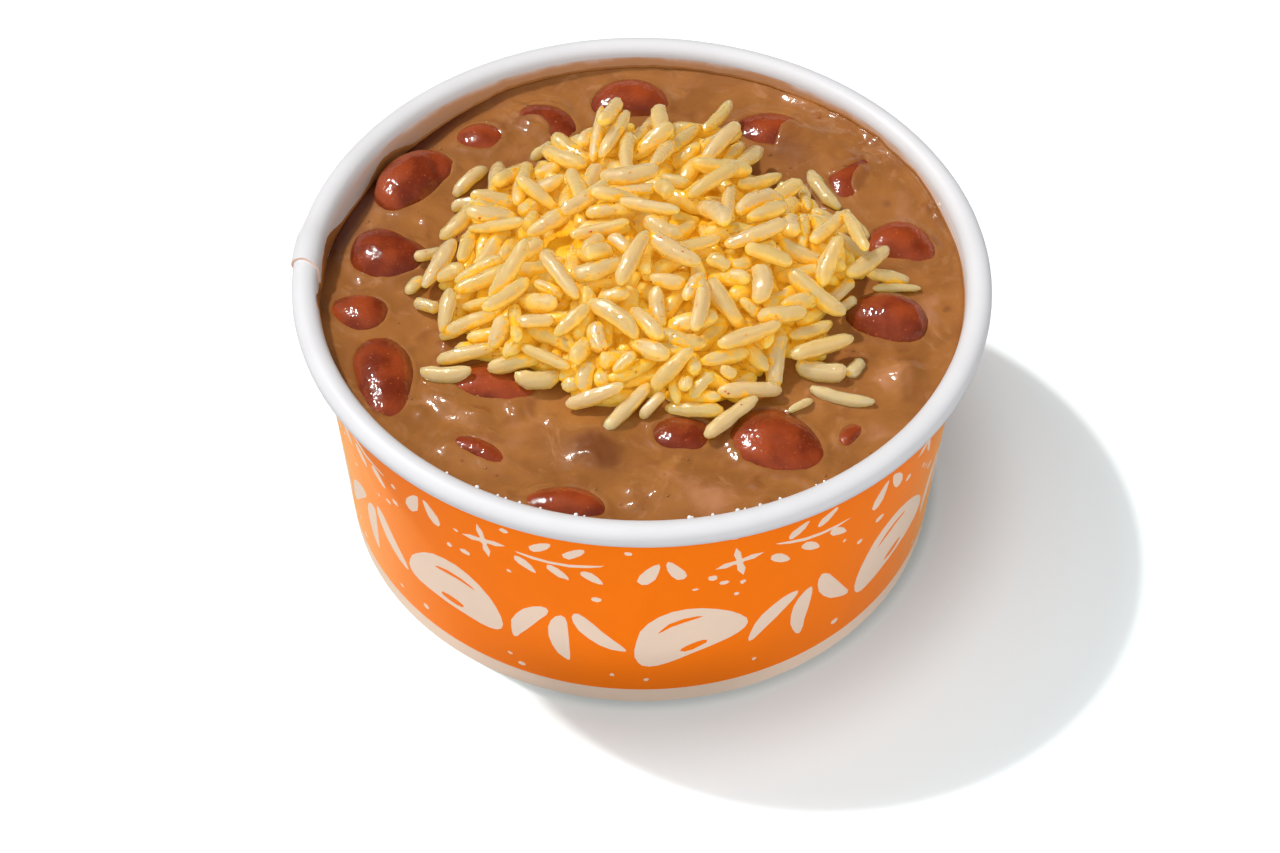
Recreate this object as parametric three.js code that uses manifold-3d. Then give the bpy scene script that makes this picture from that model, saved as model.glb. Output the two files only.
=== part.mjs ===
// Red beans and rice in a squat paper bowl: thick bean gravy filled to just under the rim, whole red
// beans half sunk in it, and a scoop of cooked long rice heaped on the middle.
// Millimetres, +Z up. The origin is the centre of the foot ring, on the surface that the bowl stands on.
import * as THREE from "three";
import { mergeVertices } from "three/addons/utils/BufferGeometryUtils.js";
import Module from "manifold-3d";

const wasm = await Module();
wasm.setup();

// ---- Bowl: a cone of coated board with a rolled rim, a folded foot and a recessed bottom disc.
const RIM_DIAMETER = 98;
const BOWL_HEIGHT = 43.8;
const ROLL_RADIUS = 1.75;
const FOOT_DIAMETER = 86;
const BOARD = 0.5;
const HEM_HEIGHT = 5;
const HEM_THICKNESS = 1.8;
const DISC_THICKNESS = 0.6;
const WALL_STEPS = 54;
// The side seam: one end of the board laps over the other, and its cut edge stands proud.
const SEAM_EDGE_DEG = 177.5;
const SEAM_LAP_DEG = 9;
const SEAM_RISE = 0.35;
// Pieces that touch keep this much air between them.
const GAP = 0.3;

// ---- Gravy: a lumpy sheet, drawn down a little where it sinks along the left of the wall.
const LEVEL = 39.5;
const MENISCUS_RISE = 0.5;
const MENISCUS_WIDTH = 1.4;
const DIP_DEG = 150;
const DIP_WIDTH_DEG = 28;
const DIP_DEPTH = 2.6;
const DIP_REACH = 4.5;
// Lumps where coated beans lie just under the surface: centre x and y, radius, rise.
const LUMPS = [
  [22.5, 30.6, 7.0, 1.5],
  [32.6, 21.6, 6.0, 1.3],
  [-16.8, 30.6, 5.0, 0.9],
  [4.3, -36.8, 4.6, 1.2],
  [-6.5, -29.3, 4.6, 1.5],
  [36.2, -16.2, 3.0, 1.5],
  [17.0, -39.5, 4.5, 0.7],
];

// ---- Beans: centre x and y, heading in degrees, length, width, thickness, how far the top stands over
// the level, taper (the wider end is ahead where it is positive) and sideways bend of the kidney.
const BEANS = [
  [-33.3, 21.3, 50, 14.0, 9.6, 7.0, 2.6, 0.05, 0.45],
  [-23.6, 30.1, -10, 9.0, 7.4, 6.2, 1.4, 0.0, 0.3],
  [-14.2, 33.1, -40, 11.8, 8.4, 6.6, 1.8, -0.08, 0.5],
  [-2.3, 38.1, 8, 12.4, 9.2, 7.2, 2.6, 0.05, 0.7],
  [19.6, 31.4, -20, 14.8, 9.4, 7.0, 1.9, -0.05, 0.6],
  [30.3, 22.2, 70, 12.0, 8.4, 6.8, 1.7, 0.0, 0.6],
  [37.0, 8.5, -12, 11.0, 8.9, 7.0, 2.4, -0.12, 0.8],
  [34.2, -6.0, -15, 12.2, 9.5, 7.6, 3.2, 0.06, 0.5],
  [18.9, -29.5, -32, 15.4, 11.8, 7.4, 2.4, -0.28, 0.3],
  [28.3, -27.8, 62, 5.2, 3.4, 3.2, 1.0, 0.05, 0.2],
  [5.6, -27.9, -3, 10.2, 8.6, 6.6, 1.6, 0.0, 0.1],
  [-19.9, -18.8, -6, 14.0, 8.8, 6.8, 1.8, -0.1, 0.7],
  [-22.0, -30.8, -27, 9.8, 4.3, 3.8, 1.1, -0.05, 0.3],
  [-35.4, -18.4, -82, 17.0, 9.3, 7.2, 2.4, -0.2, 0.3],
  [-39.6, -5.4, -18, 9.2, 8.2, 6.4, 1.9, 0.18, -0.2],
  [-35.7, 6.2, -12, 12.2, 10.6, 7.2, 2.5, -0.14, -0.4],
  [-9.9, -40.4, -8, 12.8, 6.6, 6.4, 1.8, 0.05, 0.5],
];
const BEAN_SIDES = 12;
const BEAN_RINGS = 6;
// The hollow that a bean lies in has fewer faces, so it stands off by more than the gap.
const HOLLOW_SIDES = 8;
const HOLLOW_RINGS = 5;
const HOLLOW_GROWTH = 0.75;
const BEAN_BLUNTNESS = 2.3;

// ---- Rice: a scoop with ragged lobes. The grains are dropped at random and pushed apart until they lie
// on each other, and the core fills what they hide.
const HEAP_X = 1.5;
const HEAP_Y = 2;
const HEAP_REACH = 30;
const HEAP_HEIGHT = 11.5;
const DOME_POWER = 0.8;
// Direction in degrees, how far the lobe reaches past the mean outline, and its half width in degrees.
const LOBES = [
  [16, 1, 8], [50, -4.5, 8], [72, 5, 6], [101, 3, 8], [115, -1.5, 5], [130, -2, 7], [147, 2.3, 9],
  [187, 4, 12], [213, 6.5, 7], [236, -3.5, 9], [259, 1.3, 5], [271, -4.5, 5], [286, 2.5, 7],
  [312, -3.5, 7], [330, 3, 6], [344, -2.6, 6], [357, 6, 7],
];
const GRAINS = 356;
const GRAIN_SEED = 11;
const GRAIN_LENGTH = [8.2, 10.2];
const BROKEN_LENGTH = [4.6, 6.6];
const BROKEN_SHARE = 0.13;
const GRAIN_RADIUS = [1.2, 1.4];
const GRAIN_SIDES = 5;
// A grain's flat sides stand out a little past its round, and run on into the round of its ends.
const GRAIN_SWELL = 1.05;
const SHOULDER = 0.2;
const SETTLE_STEPS = 240;
const SINK_SHARE = 0.8;
const SINK_STEP = 0.1;
// How far inside the outline a grain's middle stays, and how far past it an end may stick out.
const MIDDLE_INSET = 2.4;
const END_OUTSET = 0.6;
const REST_SHARE = 0.75;
// The core stays this far inside the outline, and grains that it hides are left out.
const CORE_INSET = 2.5;
const CORE_HEIGHT = 7.3;
const CORE_COVER = 0.3;
const CORE_POWER = 2.8;
const CORE_STEPS = 36;

const RADIAN = Math.PI / 180;
const TURN = Math.PI * 2;
const rimRadius = RIM_DIAMETER / 2;
const footRadius = FOOT_DIAMETER / 2;
const rollCentre = rimRadius - ROLL_RADIUS;
const rollHeight = BOWL_HEIGHT - ROLL_RADIUS;
const discUnderside = HEM_HEIGHT + GAP;
const gravyFloor = discUnderside + DISC_THICKNESS + GAP;

// ---------------------------------------------------------------- mesh and solid helpers

// A THREE geometry as a manifold solid.
function solidFrom(geometry) {
  const bare = geometry.index ? geometry.toNonIndexed() : geometry.clone();
  bare.deleteAttribute("normal");
  bare.deleteAttribute("uv");
  const merged = mergeVertices(bare, 1e-4);
  return new wasm.Manifold(
    new wasm.Mesh({
      numProp: 3,
      vertProperties: merged.attributes.position.array,
      triVerts: new Uint32Array(merged.index.array),
    }),
  );
}

// A manifold solid as a THREE geometry.
function geometryFrom(solid) {
  const mesh = solid.getMesh();
  const geometry = new THREE.BufferGeometry();
  geometry.setAttribute("position", new THREE.BufferAttribute(new Float32Array(mesh.vertProperties), 3));
  geometry.setIndex(new THREE.BufferAttribute(new Uint32Array(mesh.triVerts), 1));
  geometry.computeVertexNormals();
  return geometry;
}

// Rings of points skinned into a closed solid. The rings run from one end to the other, each ring turns
// the same way, and the ends close on a point, or the last ring on the first where the skin is a loop.
function skin(rings, loop, first, last) {
  const points = rings.flat();
  const count = rings[0].length;
  const faces = [];
  const bands = loop ? rings.length : rings.length - 1;
  for (let band = 0; band < bands; band++) {
    const here = band * count;
    const there = ((band + 1) % rings.length) * count;
    for (let i = 0; i < count; i++) {
      const next = (i + 1) % count;
      faces.push(here + i, here + next, there + next);
      faces.push(here + i, there + next, there + i);
    }
  }
  if (!loop) {
    const top = (rings.length - 1) * count;
    points.push(first, last);
    for (let i = 0; i < count; i++) {
      const next = (i + 1) % count;
      faces.push(points.length - 2, next, i);
      faces.push(points.length - 1, top + i, top + next);
    }
  }
  const geometry = new THREE.BufferGeometry();
  const flat = points.flatMap((point) => [point.x, point.y, point.z]);
  geometry.setAttribute("position", new THREE.Float32BufferAttribute(flat, 3));
  geometry.setIndex(faces);
  geometry.computeVertexNormals();
  return geometry;
}

function polar(radius, angle, z) {
  return new THREE.Vector3(radius * Math.cos(angle), radius * Math.sin(angle), z);
}

// How far an angle lies from a direction given in degrees, in degrees either way.
function degreesFrom(angle, direction) {
  return THREE.MathUtils.euclideanModulo(angle / RADIAN - direction + 180, 360) - 180;
}

function bell(x) {
  return Math.exp(-x * x);
}

// ---------------------------------------------------------------- bowl

function wallOuter(z) {
  const top = rollCentre - ROLL_RADIUS + BOARD - 0.1;
  return footRadius + ((top - footRadius) * z) / rollHeight;
}

function wallInner(z) {
  return wallOuter(z) - BOARD;
}

// How far the lapped board stands out of the wall at an angle.
function seamRise(angle) {
  const past = SEAM_EDGE_DEG - THREE.MathUtils.euclideanModulo(angle / RADIAN, 360);
  if (past < 0 || past > SEAM_LAP_DEG) return 0;
  return SEAM_RISE * Math.min(1, (SEAM_LAP_DEG - past) / 3);
}

function wallProfile(rise) {
  const outer = [new THREE.Vector2(footRadius + rise, 0)];
  const turns = 8;
  for (let i = 0; i <= turns; i++) {
    const angle = (-146 + (311 * i) / turns) * RADIAN;
    const swell = rise * Math.max(0, Math.cos(angle / 1.6));
    outer.push(
      new THREE.Vector2(
        rollCentre + (ROLL_RADIUS + swell) * Math.cos(angle),
        rollHeight + (ROLL_RADIUS + swell * 0.4) * Math.sin(angle),
      ),
    );
  }
  outer[1].x = wallOuter(outer[1].y) + rise;
  const hemInside = footRadius - HEM_THICKNESS;
  return [
    ...outer,
    new THREE.Vector2(wallInner(rollHeight - 1), rollHeight - 1),
    new THREE.Vector2(wallInner(HEM_HEIGHT + 0.1), HEM_HEIGHT + 0.1),
    new THREE.Vector2(hemInside + 0.3, HEM_HEIGHT),
    new THREE.Vector2(hemInside, 0),
  ];
}

function bowlWall() {
  const angles = [];
  for (let i = 0; i < WALL_STEPS; i++) angles.push((TURN * i) / WALL_STEPS);
  angles.push((SEAM_EDGE_DEG - 0.15) * RADIAN, (SEAM_EDGE_DEG + 0.15) * RADIAN);
  angles.sort((a, b) => a - b);
  const rings = angles.map((angle) =>
    wallProfile(seamRise(angle)).map((point) => polar(point.x, angle, point.y)).reverse(),
  );
  return skin(rings, true);
}

function bowlBottom() {
  const reach = wallInner(discUnderside) - GAP;
  const topside = discUnderside + DISC_THICKNESS;
  const profile = [
    new THREE.Vector2(0, discUnderside),
    new THREE.Vector2(reach, discUnderside),
    new THREE.Vector2(reach, topside),
    new THREE.Vector2(0, topside),
  ];
  return new THREE.LatheGeometry(profile, 48).rotateX(Math.PI / 2);
}

// ---------------------------------------------------------------- gravy

// Height of the gravy's surface.
function gravyTop(x, y) {
  const radius = Math.hypot(x, y);
  const inside = wallInner(LEVEL) - GAP - radius;
  const climb = MENISCUS_RISE * Math.exp(-Math.max(0, inside) / MENISCUS_WIDTH);
  const off = degreesFrom(Math.atan2(y, x), DIP_DEG) / DIP_WIDTH_DEG;
  const dip = DIP_DEPTH * bell(off) * Math.exp(-Math.max(0, inside) / DIP_REACH);
  let height = LEVEL + climb - dip;
  for (const [lumpX, lumpY, lumpRadius, rise] of LUMPS) {
    height += rise * bell(Math.hypot(x - lumpX, y - lumpY) / lumpRadius);
  }
  return height;
}

// A closed solid under the gravy's surface, raised by lift, down to a floor.
function underGravy(lift, floor, radiusAt) {
  const rings = [];
  const around = (radius, heightAt) =>
    Array.from({ length: GRAVY_STEPS }, (unused, i) => {
      const angle = (TURN * i) / GRAVY_STEPS;
      const x = radius * Math.cos(angle);
      const y = radius * Math.sin(angle);
      return new THREE.Vector3(x, y, heightAt(x, y));
    });
  const edge = radiusAt(LEVEL);
  rings.push(around(radiusAt(floor), () => floor));
  for (const share of GRAVY_RINGS) rings.push(around(edge * share, (x, y) => gravyTop(x, y) + lift));
  return skin(
    rings,
    false,
    new THREE.Vector3(0, 0, floor),
    new THREE.Vector3(0, 0, gravyTop(0, 0) + lift),
  );
}

const GRAVY_STEPS = 48;
const GRAVY_RINGS = [1, 0.965, 0.91, 0.84, 0.765, 0.69, 0.6, 0.4];

function gravySolid() {
  const body = solidFrom(underGravy(0, gravyFloor, (z) => wallInner(z) - GAP));
  return clearOfBeans(body);
}

// ---------------------------------------------------------------- beans

// The bean's own frame: its middle, and unit vectors ahead and to the left.
function beanFrame([x, y, heading, , , thick, rise]) {
  const ahead = new THREE.Vector3(Math.cos(heading * RADIAN), Math.sin(heading * RADIAN), 0);
  const left = new THREE.Vector3(-ahead.y, ahead.x, 0);
  return { middle: new THREE.Vector3(x, y, LEVEL + rise - thick / 2), ahead, left };
}

// A kidney: an egg-shaped body whose middle line bends sideways towards both ends.
function beanGeometry(bean, grow = 0, sides = BEAN_SIDES, ringCount = BEAN_RINGS) {
  const [, , , long, wide, thick, , taper, bend] = bean;
  const { middle, ahead, left } = beanFrame(bean);
  const place = (along, across, up) =>
    middle
      .clone()
      .addScaledVector(ahead, along)
      .addScaledVector(left, across)
      .add(new THREE.Vector3(0, 0, up));
  const halfLength = long / 2 + grow;
  const rings = [];
  for (let ring = 1; ring < ringCount; ring++) {
    const share = -Math.cos((Math.PI * ring) / ringCount);
    const fullness = Math.sqrt(1 - Math.abs(share) ** BEAN_BLUNTNESS) * (1 + taper * share);
    const across = bend * (1 - 2 * share * share);
    rings.push(
      Array.from({ length: sides }, (unused, i) => {
        const angle = (TURN * i) / sides;
        return place(
          share * halfLength,
          across + (wide / 2 + grow) * fullness * Math.cos(angle),
          (thick / 2 + grow) * fullness * Math.sin(angle),
        );
      }),
    );
  }
  return skin(rings, false, place(-halfLength, -bend, 0), place(halfLength, -bend, 0));
}

// What is left of a solid once each bean has its hollow in it.
function clearOfBeans(solid) {
  return BEANS.reduce((left, bean) => {
    const hollow = beanGeometry(bean, HOLLOW_GROWTH, HOLLOW_SIDES, HOLLOW_RINGS);
    return left.subtract(solidFrom(hollow));
  }, solid);
}

// Height of the beans' tops over a point, or nothing where there is no bean.
function beanTop(x, y) {
  let height = -Infinity;
  for (const bean of BEANS) {
    const { middle, ahead, left } = beanFrame(bean);
    const off = new THREE.Vector3(x - middle.x, y - middle.y, 0);
    const along = off.dot(ahead) / (bean[3] / 2);
    const across = off.dot(left) / (bean[4] / 2);
    const inside = 1 - along * along - across * across;
    if (inside > 0) height = Math.max(height, middle.z + (bean[5] / 2) * Math.sqrt(inside));
  }
  return height;
}

// ---------------------------------------------------------------- rice

// The same draws come out on every run.
class Draws {
  constructor(seed) {
    this.seed = seed;
  }
  between(low, high) {
    this.seed = (this.seed * 48271) % 2147483647;
    return low + ((high - low) * this.seed) / 2147483647;
  }
}

function heapOutline(angle) {
  return LOBES.reduce(
    (reach, [direction, extra, width]) => reach + extra * bell(degreesFrom(angle, direction) / width),
    HEAP_REACH,
  );
}

// Grains thrown loosely into the shape of the heap: two end points and a radius each.
function looseGrains() {
  const draws = new Draws(GRAIN_SEED);
  const grains = [];
  while (grains.length < GRAINS) {
    const angle = draws.between(0, TURN);
    const share = Math.sqrt(draws.between(0, 1));
    const lift = draws.between(0, 1);
    const dome = (1 - share * share) ** DOME_POWER;
    if (draws.between(0, 1) > dome + 0.22) continue;
    const reach = heapOutline(angle);
    const middle = polar(share * reach, angle, LEVEL + 1.3 + lift * dome * HEAP_HEIGHT * 1.25);
    middle.x += HEAP_X;
    middle.y += HEAP_Y;
    const broken = draws.between(0, 1) < BROKEN_SHARE;
    const length = draws.between(...(broken ? BROKEN_LENGTH : GRAIN_LENGTH));
    const radius = draws.between(...GRAIN_RADIUS);
    const heading = draws.between(0, TURN);
    const fall = Math.atan(((-share * HEAP_HEIGHT) / reach) * Math.cos(heading - angle) * 1.2);
    const pitch = fall + draws.between(-1, 1) * 0.32 + draws.between(-1, 1) ** 3 * 0.5;
    const ahead = polar(Math.cos(pitch), heading, Math.sin(pitch));
    const half = length / 2 - radius;
    grains.push({
      ends: [middle.clone().addScaledVector(ahead, -half), middle.clone().addScaledVector(ahead, half)],
      half,
      radius,
    });
  }
  return grains;
}

// Where two grains' middle lines come closest: the share along each, and the way from the second to the first.
function closest(one, two) {
  const [a, b] = one.ends;
  const [c, d] = two.ends;
  const alongOne = b.clone().sub(a);
  const alongTwo = d.clone().sub(c);
  const apart = a.clone().sub(c);
  const lengthOne = alongOne.lengthSq();
  const lengthTwo = alongTwo.lengthSq();
  const across = alongOne.dot(alongTwo);
  const offTwo = alongTwo.dot(apart);
  const offOne = alongOne.dot(apart);
  const spread = lengthOne * lengthTwo - across * across;
  const clamp = (value) => Math.min(1, Math.max(0, value));
  let s = spread > 1e-9 ? clamp((across * offTwo - offOne * lengthTwo) / spread) : 0.5;
  let t = (across * s + offTwo) / lengthTwo;
  if (t < 0) s = clamp(-offOne / lengthOne);
  if (t > 1) s = clamp((across - offOne) / lengthOne);
  t = clamp(t);
  const way = a.clone().addScaledVector(alongOne, s).sub(c.clone().addScaledVector(alongTwo, t));
  return { s, t, way };
}

// One round of pushing overlapping grains apart, half the overlap each, spread over both ends.
function pushApart(grains) {
  const moves = grains.map(() => ({ ends: [new THREE.Vector3(), new THREE.Vector3()], count: 0 }));
  const middles = grains.map(({ ends }) => ends[0].clone().add(ends[1]).multiplyScalar(0.5));
  const shift = (index, share, push) => {
    const weight = (1 - share) ** 2 + share ** 2;
    moves[index].ends[0].addScaledVector(push, (1 - share) / weight);
    moves[index].ends[1].addScaledVector(push, share / weight);
    moves[index].count += 1;
  };
  grains.forEach((one, i) => {
    for (let j = i + 1; j < grains.length; j++) {
      const two = grains[j];
      const reach = one.half + one.radius + two.half + two.radius;
      if (middles[i].distanceToSquared(middles[j]) >= reach * reach) continue;
      const { s, t, way } = closest(one, two);
      const distance = way.length();
      const wanted = one.radius + two.radius;
      if (distance >= wanted) continue;
      if (distance < 1e-6) way.set(0, 0, 1);
      way.setLength((wanted - distance) / 2);
      shift(i, s, way);
      shift(j, t, way.negate());
    }
  });
  grains.forEach(({ ends }, i) => {
    const ease = Math.max(1, moves[i].count) ** 0.75;
    ends.forEach((end, k) => {
      const move = moves[i].ends[k].divideScalar(ease);
      end.add(move.multiply(new THREE.Vector3(0.75, 0.75, 1)));
    });
  });
}

// Brings a point half the way back in where it lies past the heap's outline by more than a slack.
function bringInside(point, slack) {
  const offX = point.x - HEAP_X;
  const offY = point.y - HEAP_Y;
  const reach = Math.hypot(offX, offY);
  const past = Math.max(0, reach - heapOutline(Math.atan2(offY, offX)) - slack);
  point.x -= (offX / reach) * past * 0.5;
  point.y -= (offY / reach) * past * 0.5;
}

// Keeps a grain on what it lies on and inside the heap's outline, and at its own length.
function holdGrain({ ends, half, radius }) {
  for (const end of ends) {
    end.z = Math.max(end.z, Math.max(LEVEL, beanTop(end.x, end.y)) + radius * REST_SHARE);
    bringInside(end, END_OUTSET);
  }
  const middle = ends[0].clone().add(ends[1]).multiplyScalar(0.5);
  bringInside(middle, -MIDDLE_INSET);
  const along = ends[1].clone().sub(ends[0]).setLength(half);
  ends[0].copy(middle).sub(along);
  ends[1].copy(middle).add(along);
}

function settledGrains() {
  const grains = looseGrains();
  for (let step = 0; step < SETTLE_STEPS; step++) {
    const sink = SINK_STEP * Math.max(0, 1 - step / (SETTLE_STEPS * SINK_SHARE));
    for (const { ends } of grains) for (const end of ends) end.z -= sink;
    pushApart(grains);
    grains.forEach(holdGrain);
  }
  return grains;
}

// A grain with few sides: two rings and two blunt tips.
function grainGeometry({ ends, half, radius }, index) {
  const along = ends[1].clone().sub(ends[0]).normalize();
  const side = new THREE.Vector3().crossVectors(along, new THREE.Vector3(0, 0, 1)).normalize();
  const up = new THREE.Vector3().crossVectors(side, along);
  const middle = ends[0].clone().add(ends[1]).multiplyScalar(0.5);
  const ringAt = (offset) =>
    Array.from({ length: GRAIN_SIDES }, (unused, i) => {
      const angle = (TURN * (i + (index % 4) / 4)) / GRAIN_SIDES;
      return middle
        .clone()
        .addScaledVector(along, offset)
        .addScaledVector(side, -radius * GRAIN_SWELL * Math.cos(angle))
        .addScaledVector(up, radius * GRAIN_SWELL * Math.sin(angle));
    });
  return skin(
    [ringAt(-half - radius * SHOULDER), ringAt(half + radius * SHOULDER)],
    false,
    middle.clone().addScaledVector(along, -half - radius),
    middle.clone().addScaledVector(along, half + radius),
  );
}

// Height of the core's surface at a share of the way from the heap's middle to the core's edge.
function coreTop(share) {
  return LEVEL + GAP + CORE_HEIGHT * Math.max(0, 1 - share ** CORE_POWER);
}

function heapCore() {
  const around = (share, z) =>
    Array.from({ length: CORE_STEPS }, (unused, i) => {
      const angle = (TURN * i) / CORE_STEPS;
      const point = polar(share * (heapOutline(angle) - CORE_INSET), angle, z);
      return point.add(new THREE.Vector3(HEAP_X, HEAP_Y, 0));
    });
  const floor = LEVEL - 1;
  const rings = [around(1, floor)];
  for (const share of [1, 0.9, 0.75, 0.55, 0.3]) rings.push(around(share, coreTop(share)));
  const foot = new THREE.Vector3(HEAP_X, HEAP_Y, floor);
  const peak = new THREE.Vector3(HEAP_X, HEAP_Y, coreTop(0));
  return skin(rings, false, foot, peak);
}

// Whether a grain's middle lies clear of the core.
function shows({ ends }) {
  const middle = ends[0].clone().add(ends[1]).multiplyScalar(0.5);
  const offX = middle.x - HEAP_X;
  const offY = middle.y - HEAP_Y;
  const share = Math.hypot(offX, offY) / (heapOutline(Math.atan2(offY, offX)) - CORE_INSET);
  return share > 1 || middle.z > coreTop(share) + CORE_COVER;
}

function riceHeap() {
  const grains = settledGrains().filter(shows);
  const solids = grains.map((grain, index) => solidFrom(grainGeometry(grain, index)));
  const joined = wasm.Manifold.union([solidFrom(heapCore()), ...solids]);
  const under = solidFrom(underGravy(GAP, LEVEL - 12, () => wallInner(LEVEL) - GAP));
  const pieces = clearOfBeans(joined).subtract(under).decompose();
  return pieces.reduce((best, piece) => (piece.volume() > best.volume() ? piece : best));
}

// ---------------------------------------------------------------- materials and the scene

const board = new THREE.MeshStandardMaterial({ color: 0xf27a18, roughness: 0.45, metalness: 0 });
const bareBoard = new THREE.MeshStandardMaterial({ color: 0xf4f4f5, roughness: 0.5, metalness: 0 });
const gravy = new THREE.MeshStandardMaterial({ color: 0xa76c39, roughness: 0.25, metalness: 0 });
const redBean = new THREE.MeshStandardMaterial({ color: 0x8e4228, roughness: 0.3, metalness: 0 });
const rice = new THREE.MeshStandardMaterial({ color: 0xe7b764, roughness: 0.4, metalness: 0 });

const dish = new THREE.Group();

function addPiece(name, geometry, material) {
  const mesh = new THREE.Mesh(geometry, material);
  mesh.name = name;
  dish.add(mesh);
}

addPiece("bowl_wall", bowlWall(), board);
addPiece("bowl_bottom", bowlBottom(), bareBoard);
addPiece("gravy", geometryFrom(gravySolid()), gravy);
BEANS.forEach((bean, i) => {
  addPiece("bean_" + String(i + 1).padStart(2, "0"), beanGeometry(bean), redBean);
});
addPiece("rice_heap", geometryFrom(riceHeap()), rice);

export default dish;
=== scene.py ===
import math

import bmesh
import bpy
import numpy as np
from mathutils import Matrix, Vector, geometry, noise
from mathutils.bvhtree import BVHTree


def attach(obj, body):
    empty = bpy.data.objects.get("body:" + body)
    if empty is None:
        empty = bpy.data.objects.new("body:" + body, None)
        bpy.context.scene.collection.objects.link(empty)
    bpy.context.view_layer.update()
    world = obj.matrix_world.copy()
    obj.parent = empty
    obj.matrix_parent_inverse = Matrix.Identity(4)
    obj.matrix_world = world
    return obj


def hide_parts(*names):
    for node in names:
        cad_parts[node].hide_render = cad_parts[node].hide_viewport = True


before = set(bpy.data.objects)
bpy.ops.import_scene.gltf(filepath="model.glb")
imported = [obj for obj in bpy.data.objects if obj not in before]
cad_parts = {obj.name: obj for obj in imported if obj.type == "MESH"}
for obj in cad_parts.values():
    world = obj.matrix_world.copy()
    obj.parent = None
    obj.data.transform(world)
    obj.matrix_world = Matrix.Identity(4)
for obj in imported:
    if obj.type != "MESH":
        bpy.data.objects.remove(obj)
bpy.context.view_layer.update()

# ------------------------------------------------------------------------------ side wall and rim
# One sheet of coated paperboard, printed outside, wrapped into a cone and glued where its ends lap.
# Its lower edge is folded in to hold the bottom disc, and its upper edge is curled into the rim.
# Everything below is worked out in millimetres and made in metres.
MM = 0.001
RIM_RADIUS = 49.0
BOWL_HEIGHT = 43.8
ROLL_RADIUS = 1.75
FOOT_RADIUS = 43.0
BOARD = 0.5
HEM_HEIGHT = 5.0
HEM_THICKNESS = 1.8
SEAM_DEG = 177.5
LAP_DEG = 9.0
LAP_RAMP_DEG = 3.0
LAP_RISE = 0.35
LAP_RISE_INSIDE = 0.22
SEAM_LEAN_DEG = 4.0
LEAN_REACH_DEG = 30.0
BOARD_COLUMNS = 180
FREE_EDGE_TURN = -146.0
CURL_START = -140.0
CURL_END = 178.0
CURL_ROWS = 24
LINING_LEVELS = (40.6, 39.0, 37.0, 34.0, 28.0, 20.0, 12.0, HEM_HEIGHT + 0.1)
CREAM_BAND = 3.0

roll_r = RIM_RADIUS - ROLL_RADIUS
roll_z = BOWL_HEIGHT - ROLL_RADIUS
columns = np.linspace(SEAM_DEG - 360, SEAM_DEG, BOARD_COLUMNS + 1)


def wall_outer(z):
    """Radius of the printed face at a height."""
    top = roll_r - ROLL_RADIUS + BOARD - 0.1
    return FOOT_RADIUS + (top - FOOT_RADIUS) * z / roll_z


def lap_share(past):
    """How much of its full rise the sheet has, from 0 to 1, so many degrees back from its lapped end."""
    return np.clip((LAP_DEG - past) / LAP_RAMP_DEG, 0, 1)


lap = lap_share(SEAM_DEG - columns)


def around(radius, z, lean):
    """A row of points along the sheet. The seam leans as the board turns over the rim."""
    off = (columns - SEAM_DEG + 180) % 360 - 180
    angle = np.radians(columns + SEAM_LEAN_DEG * lean * np.exp(-((off / LEAN_REACH_DEG) ** 2)))
    level = np.broadcast_to(z, angle.shape)
    return np.stack([radius * np.cos(angle), radius * np.sin(angle), level], 1)


class Draws:
    """Seeded draws that come out the same on every run."""

    def __init__(self, seed):
        self.seed = seed

    def between(self, low, high):
        self.seed = self.seed * 48271 % 2147483647
        return low + (high - low) * self.seed / 2147483647


def drawn(long, wide, taper=0.0, sag=0.0, along=0.0, up=0.0):
    """An outline: half its length and width, its taper, how far its ends sag, and its middle's shift."""
    def at(t):
        x, y = math.cos(t), math.sin(t)
        return long * x + along, wide * y * (1 + taper * x) + up - sag * x ** 2

    return at


bean_outline = drawn(7.6, 4.9, taper=0.08, sag=3.0, up=1.5)
bean_eye = drawn(1.9, 0.62, up=-2.0)
bean_shine = drawn(3.6, 0.42, sag=0.9, along=0.6, up=4.3)
rice_outline = drawn(4.3, 1.15, taper=0.18, sag=0.7, up=0.35)
leaf_outline = drawn(2.4, 0.95, taper=-0.35)
stem_outline = drawn(5.4, 0.28, sag=-0.7)
dot_outline = drawn(0.5, 0.5)


def sparkle_outline(t):
    reach = 0.55 + 2.2 * abs(math.cos(2 * t)) ** 5
    return reach * math.cos(t), reach * math.sin(t)


INK_WOBBLE = 0.09
PRINT_PERIODS = 16
LOW_ROW = 15.0
HIGH_ROW = 31.5
DOTS = 130
DOTS_TOP = 39.2
arc = math.radians(wall_outer(BOWL_HEIGHT / 2))
sheet_length = 360 * arc
print_draws = Draws(29)
print_points = []
print_faces = []
eye_faces = set()


def stamp(outline, count, x, z, turn=0.0, size=1.0, stretch=1.0, eye=False):
    """Adds one shape of the print, with the slightly uneven edge of a brushed drawing."""
    cos, sin = math.cos(math.radians(turn)), math.sin(math.radians(turn))
    first = len(print_points)
    for i in range(count):
        px, py = outline(2 * math.pi * i / count)
        wobble = print_draws.between(-INK_WOBBLE, INK_WOBBLE)
        px, py = px * size * stretch + wobble, py * size - wobble
        print_points.append((x + px * cos - py * sin, z + px * sin + py * cos))
    if eye:
        eye_faces.add(len(print_faces))
    print_faces.append(list(range(first, first + count)))


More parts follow.
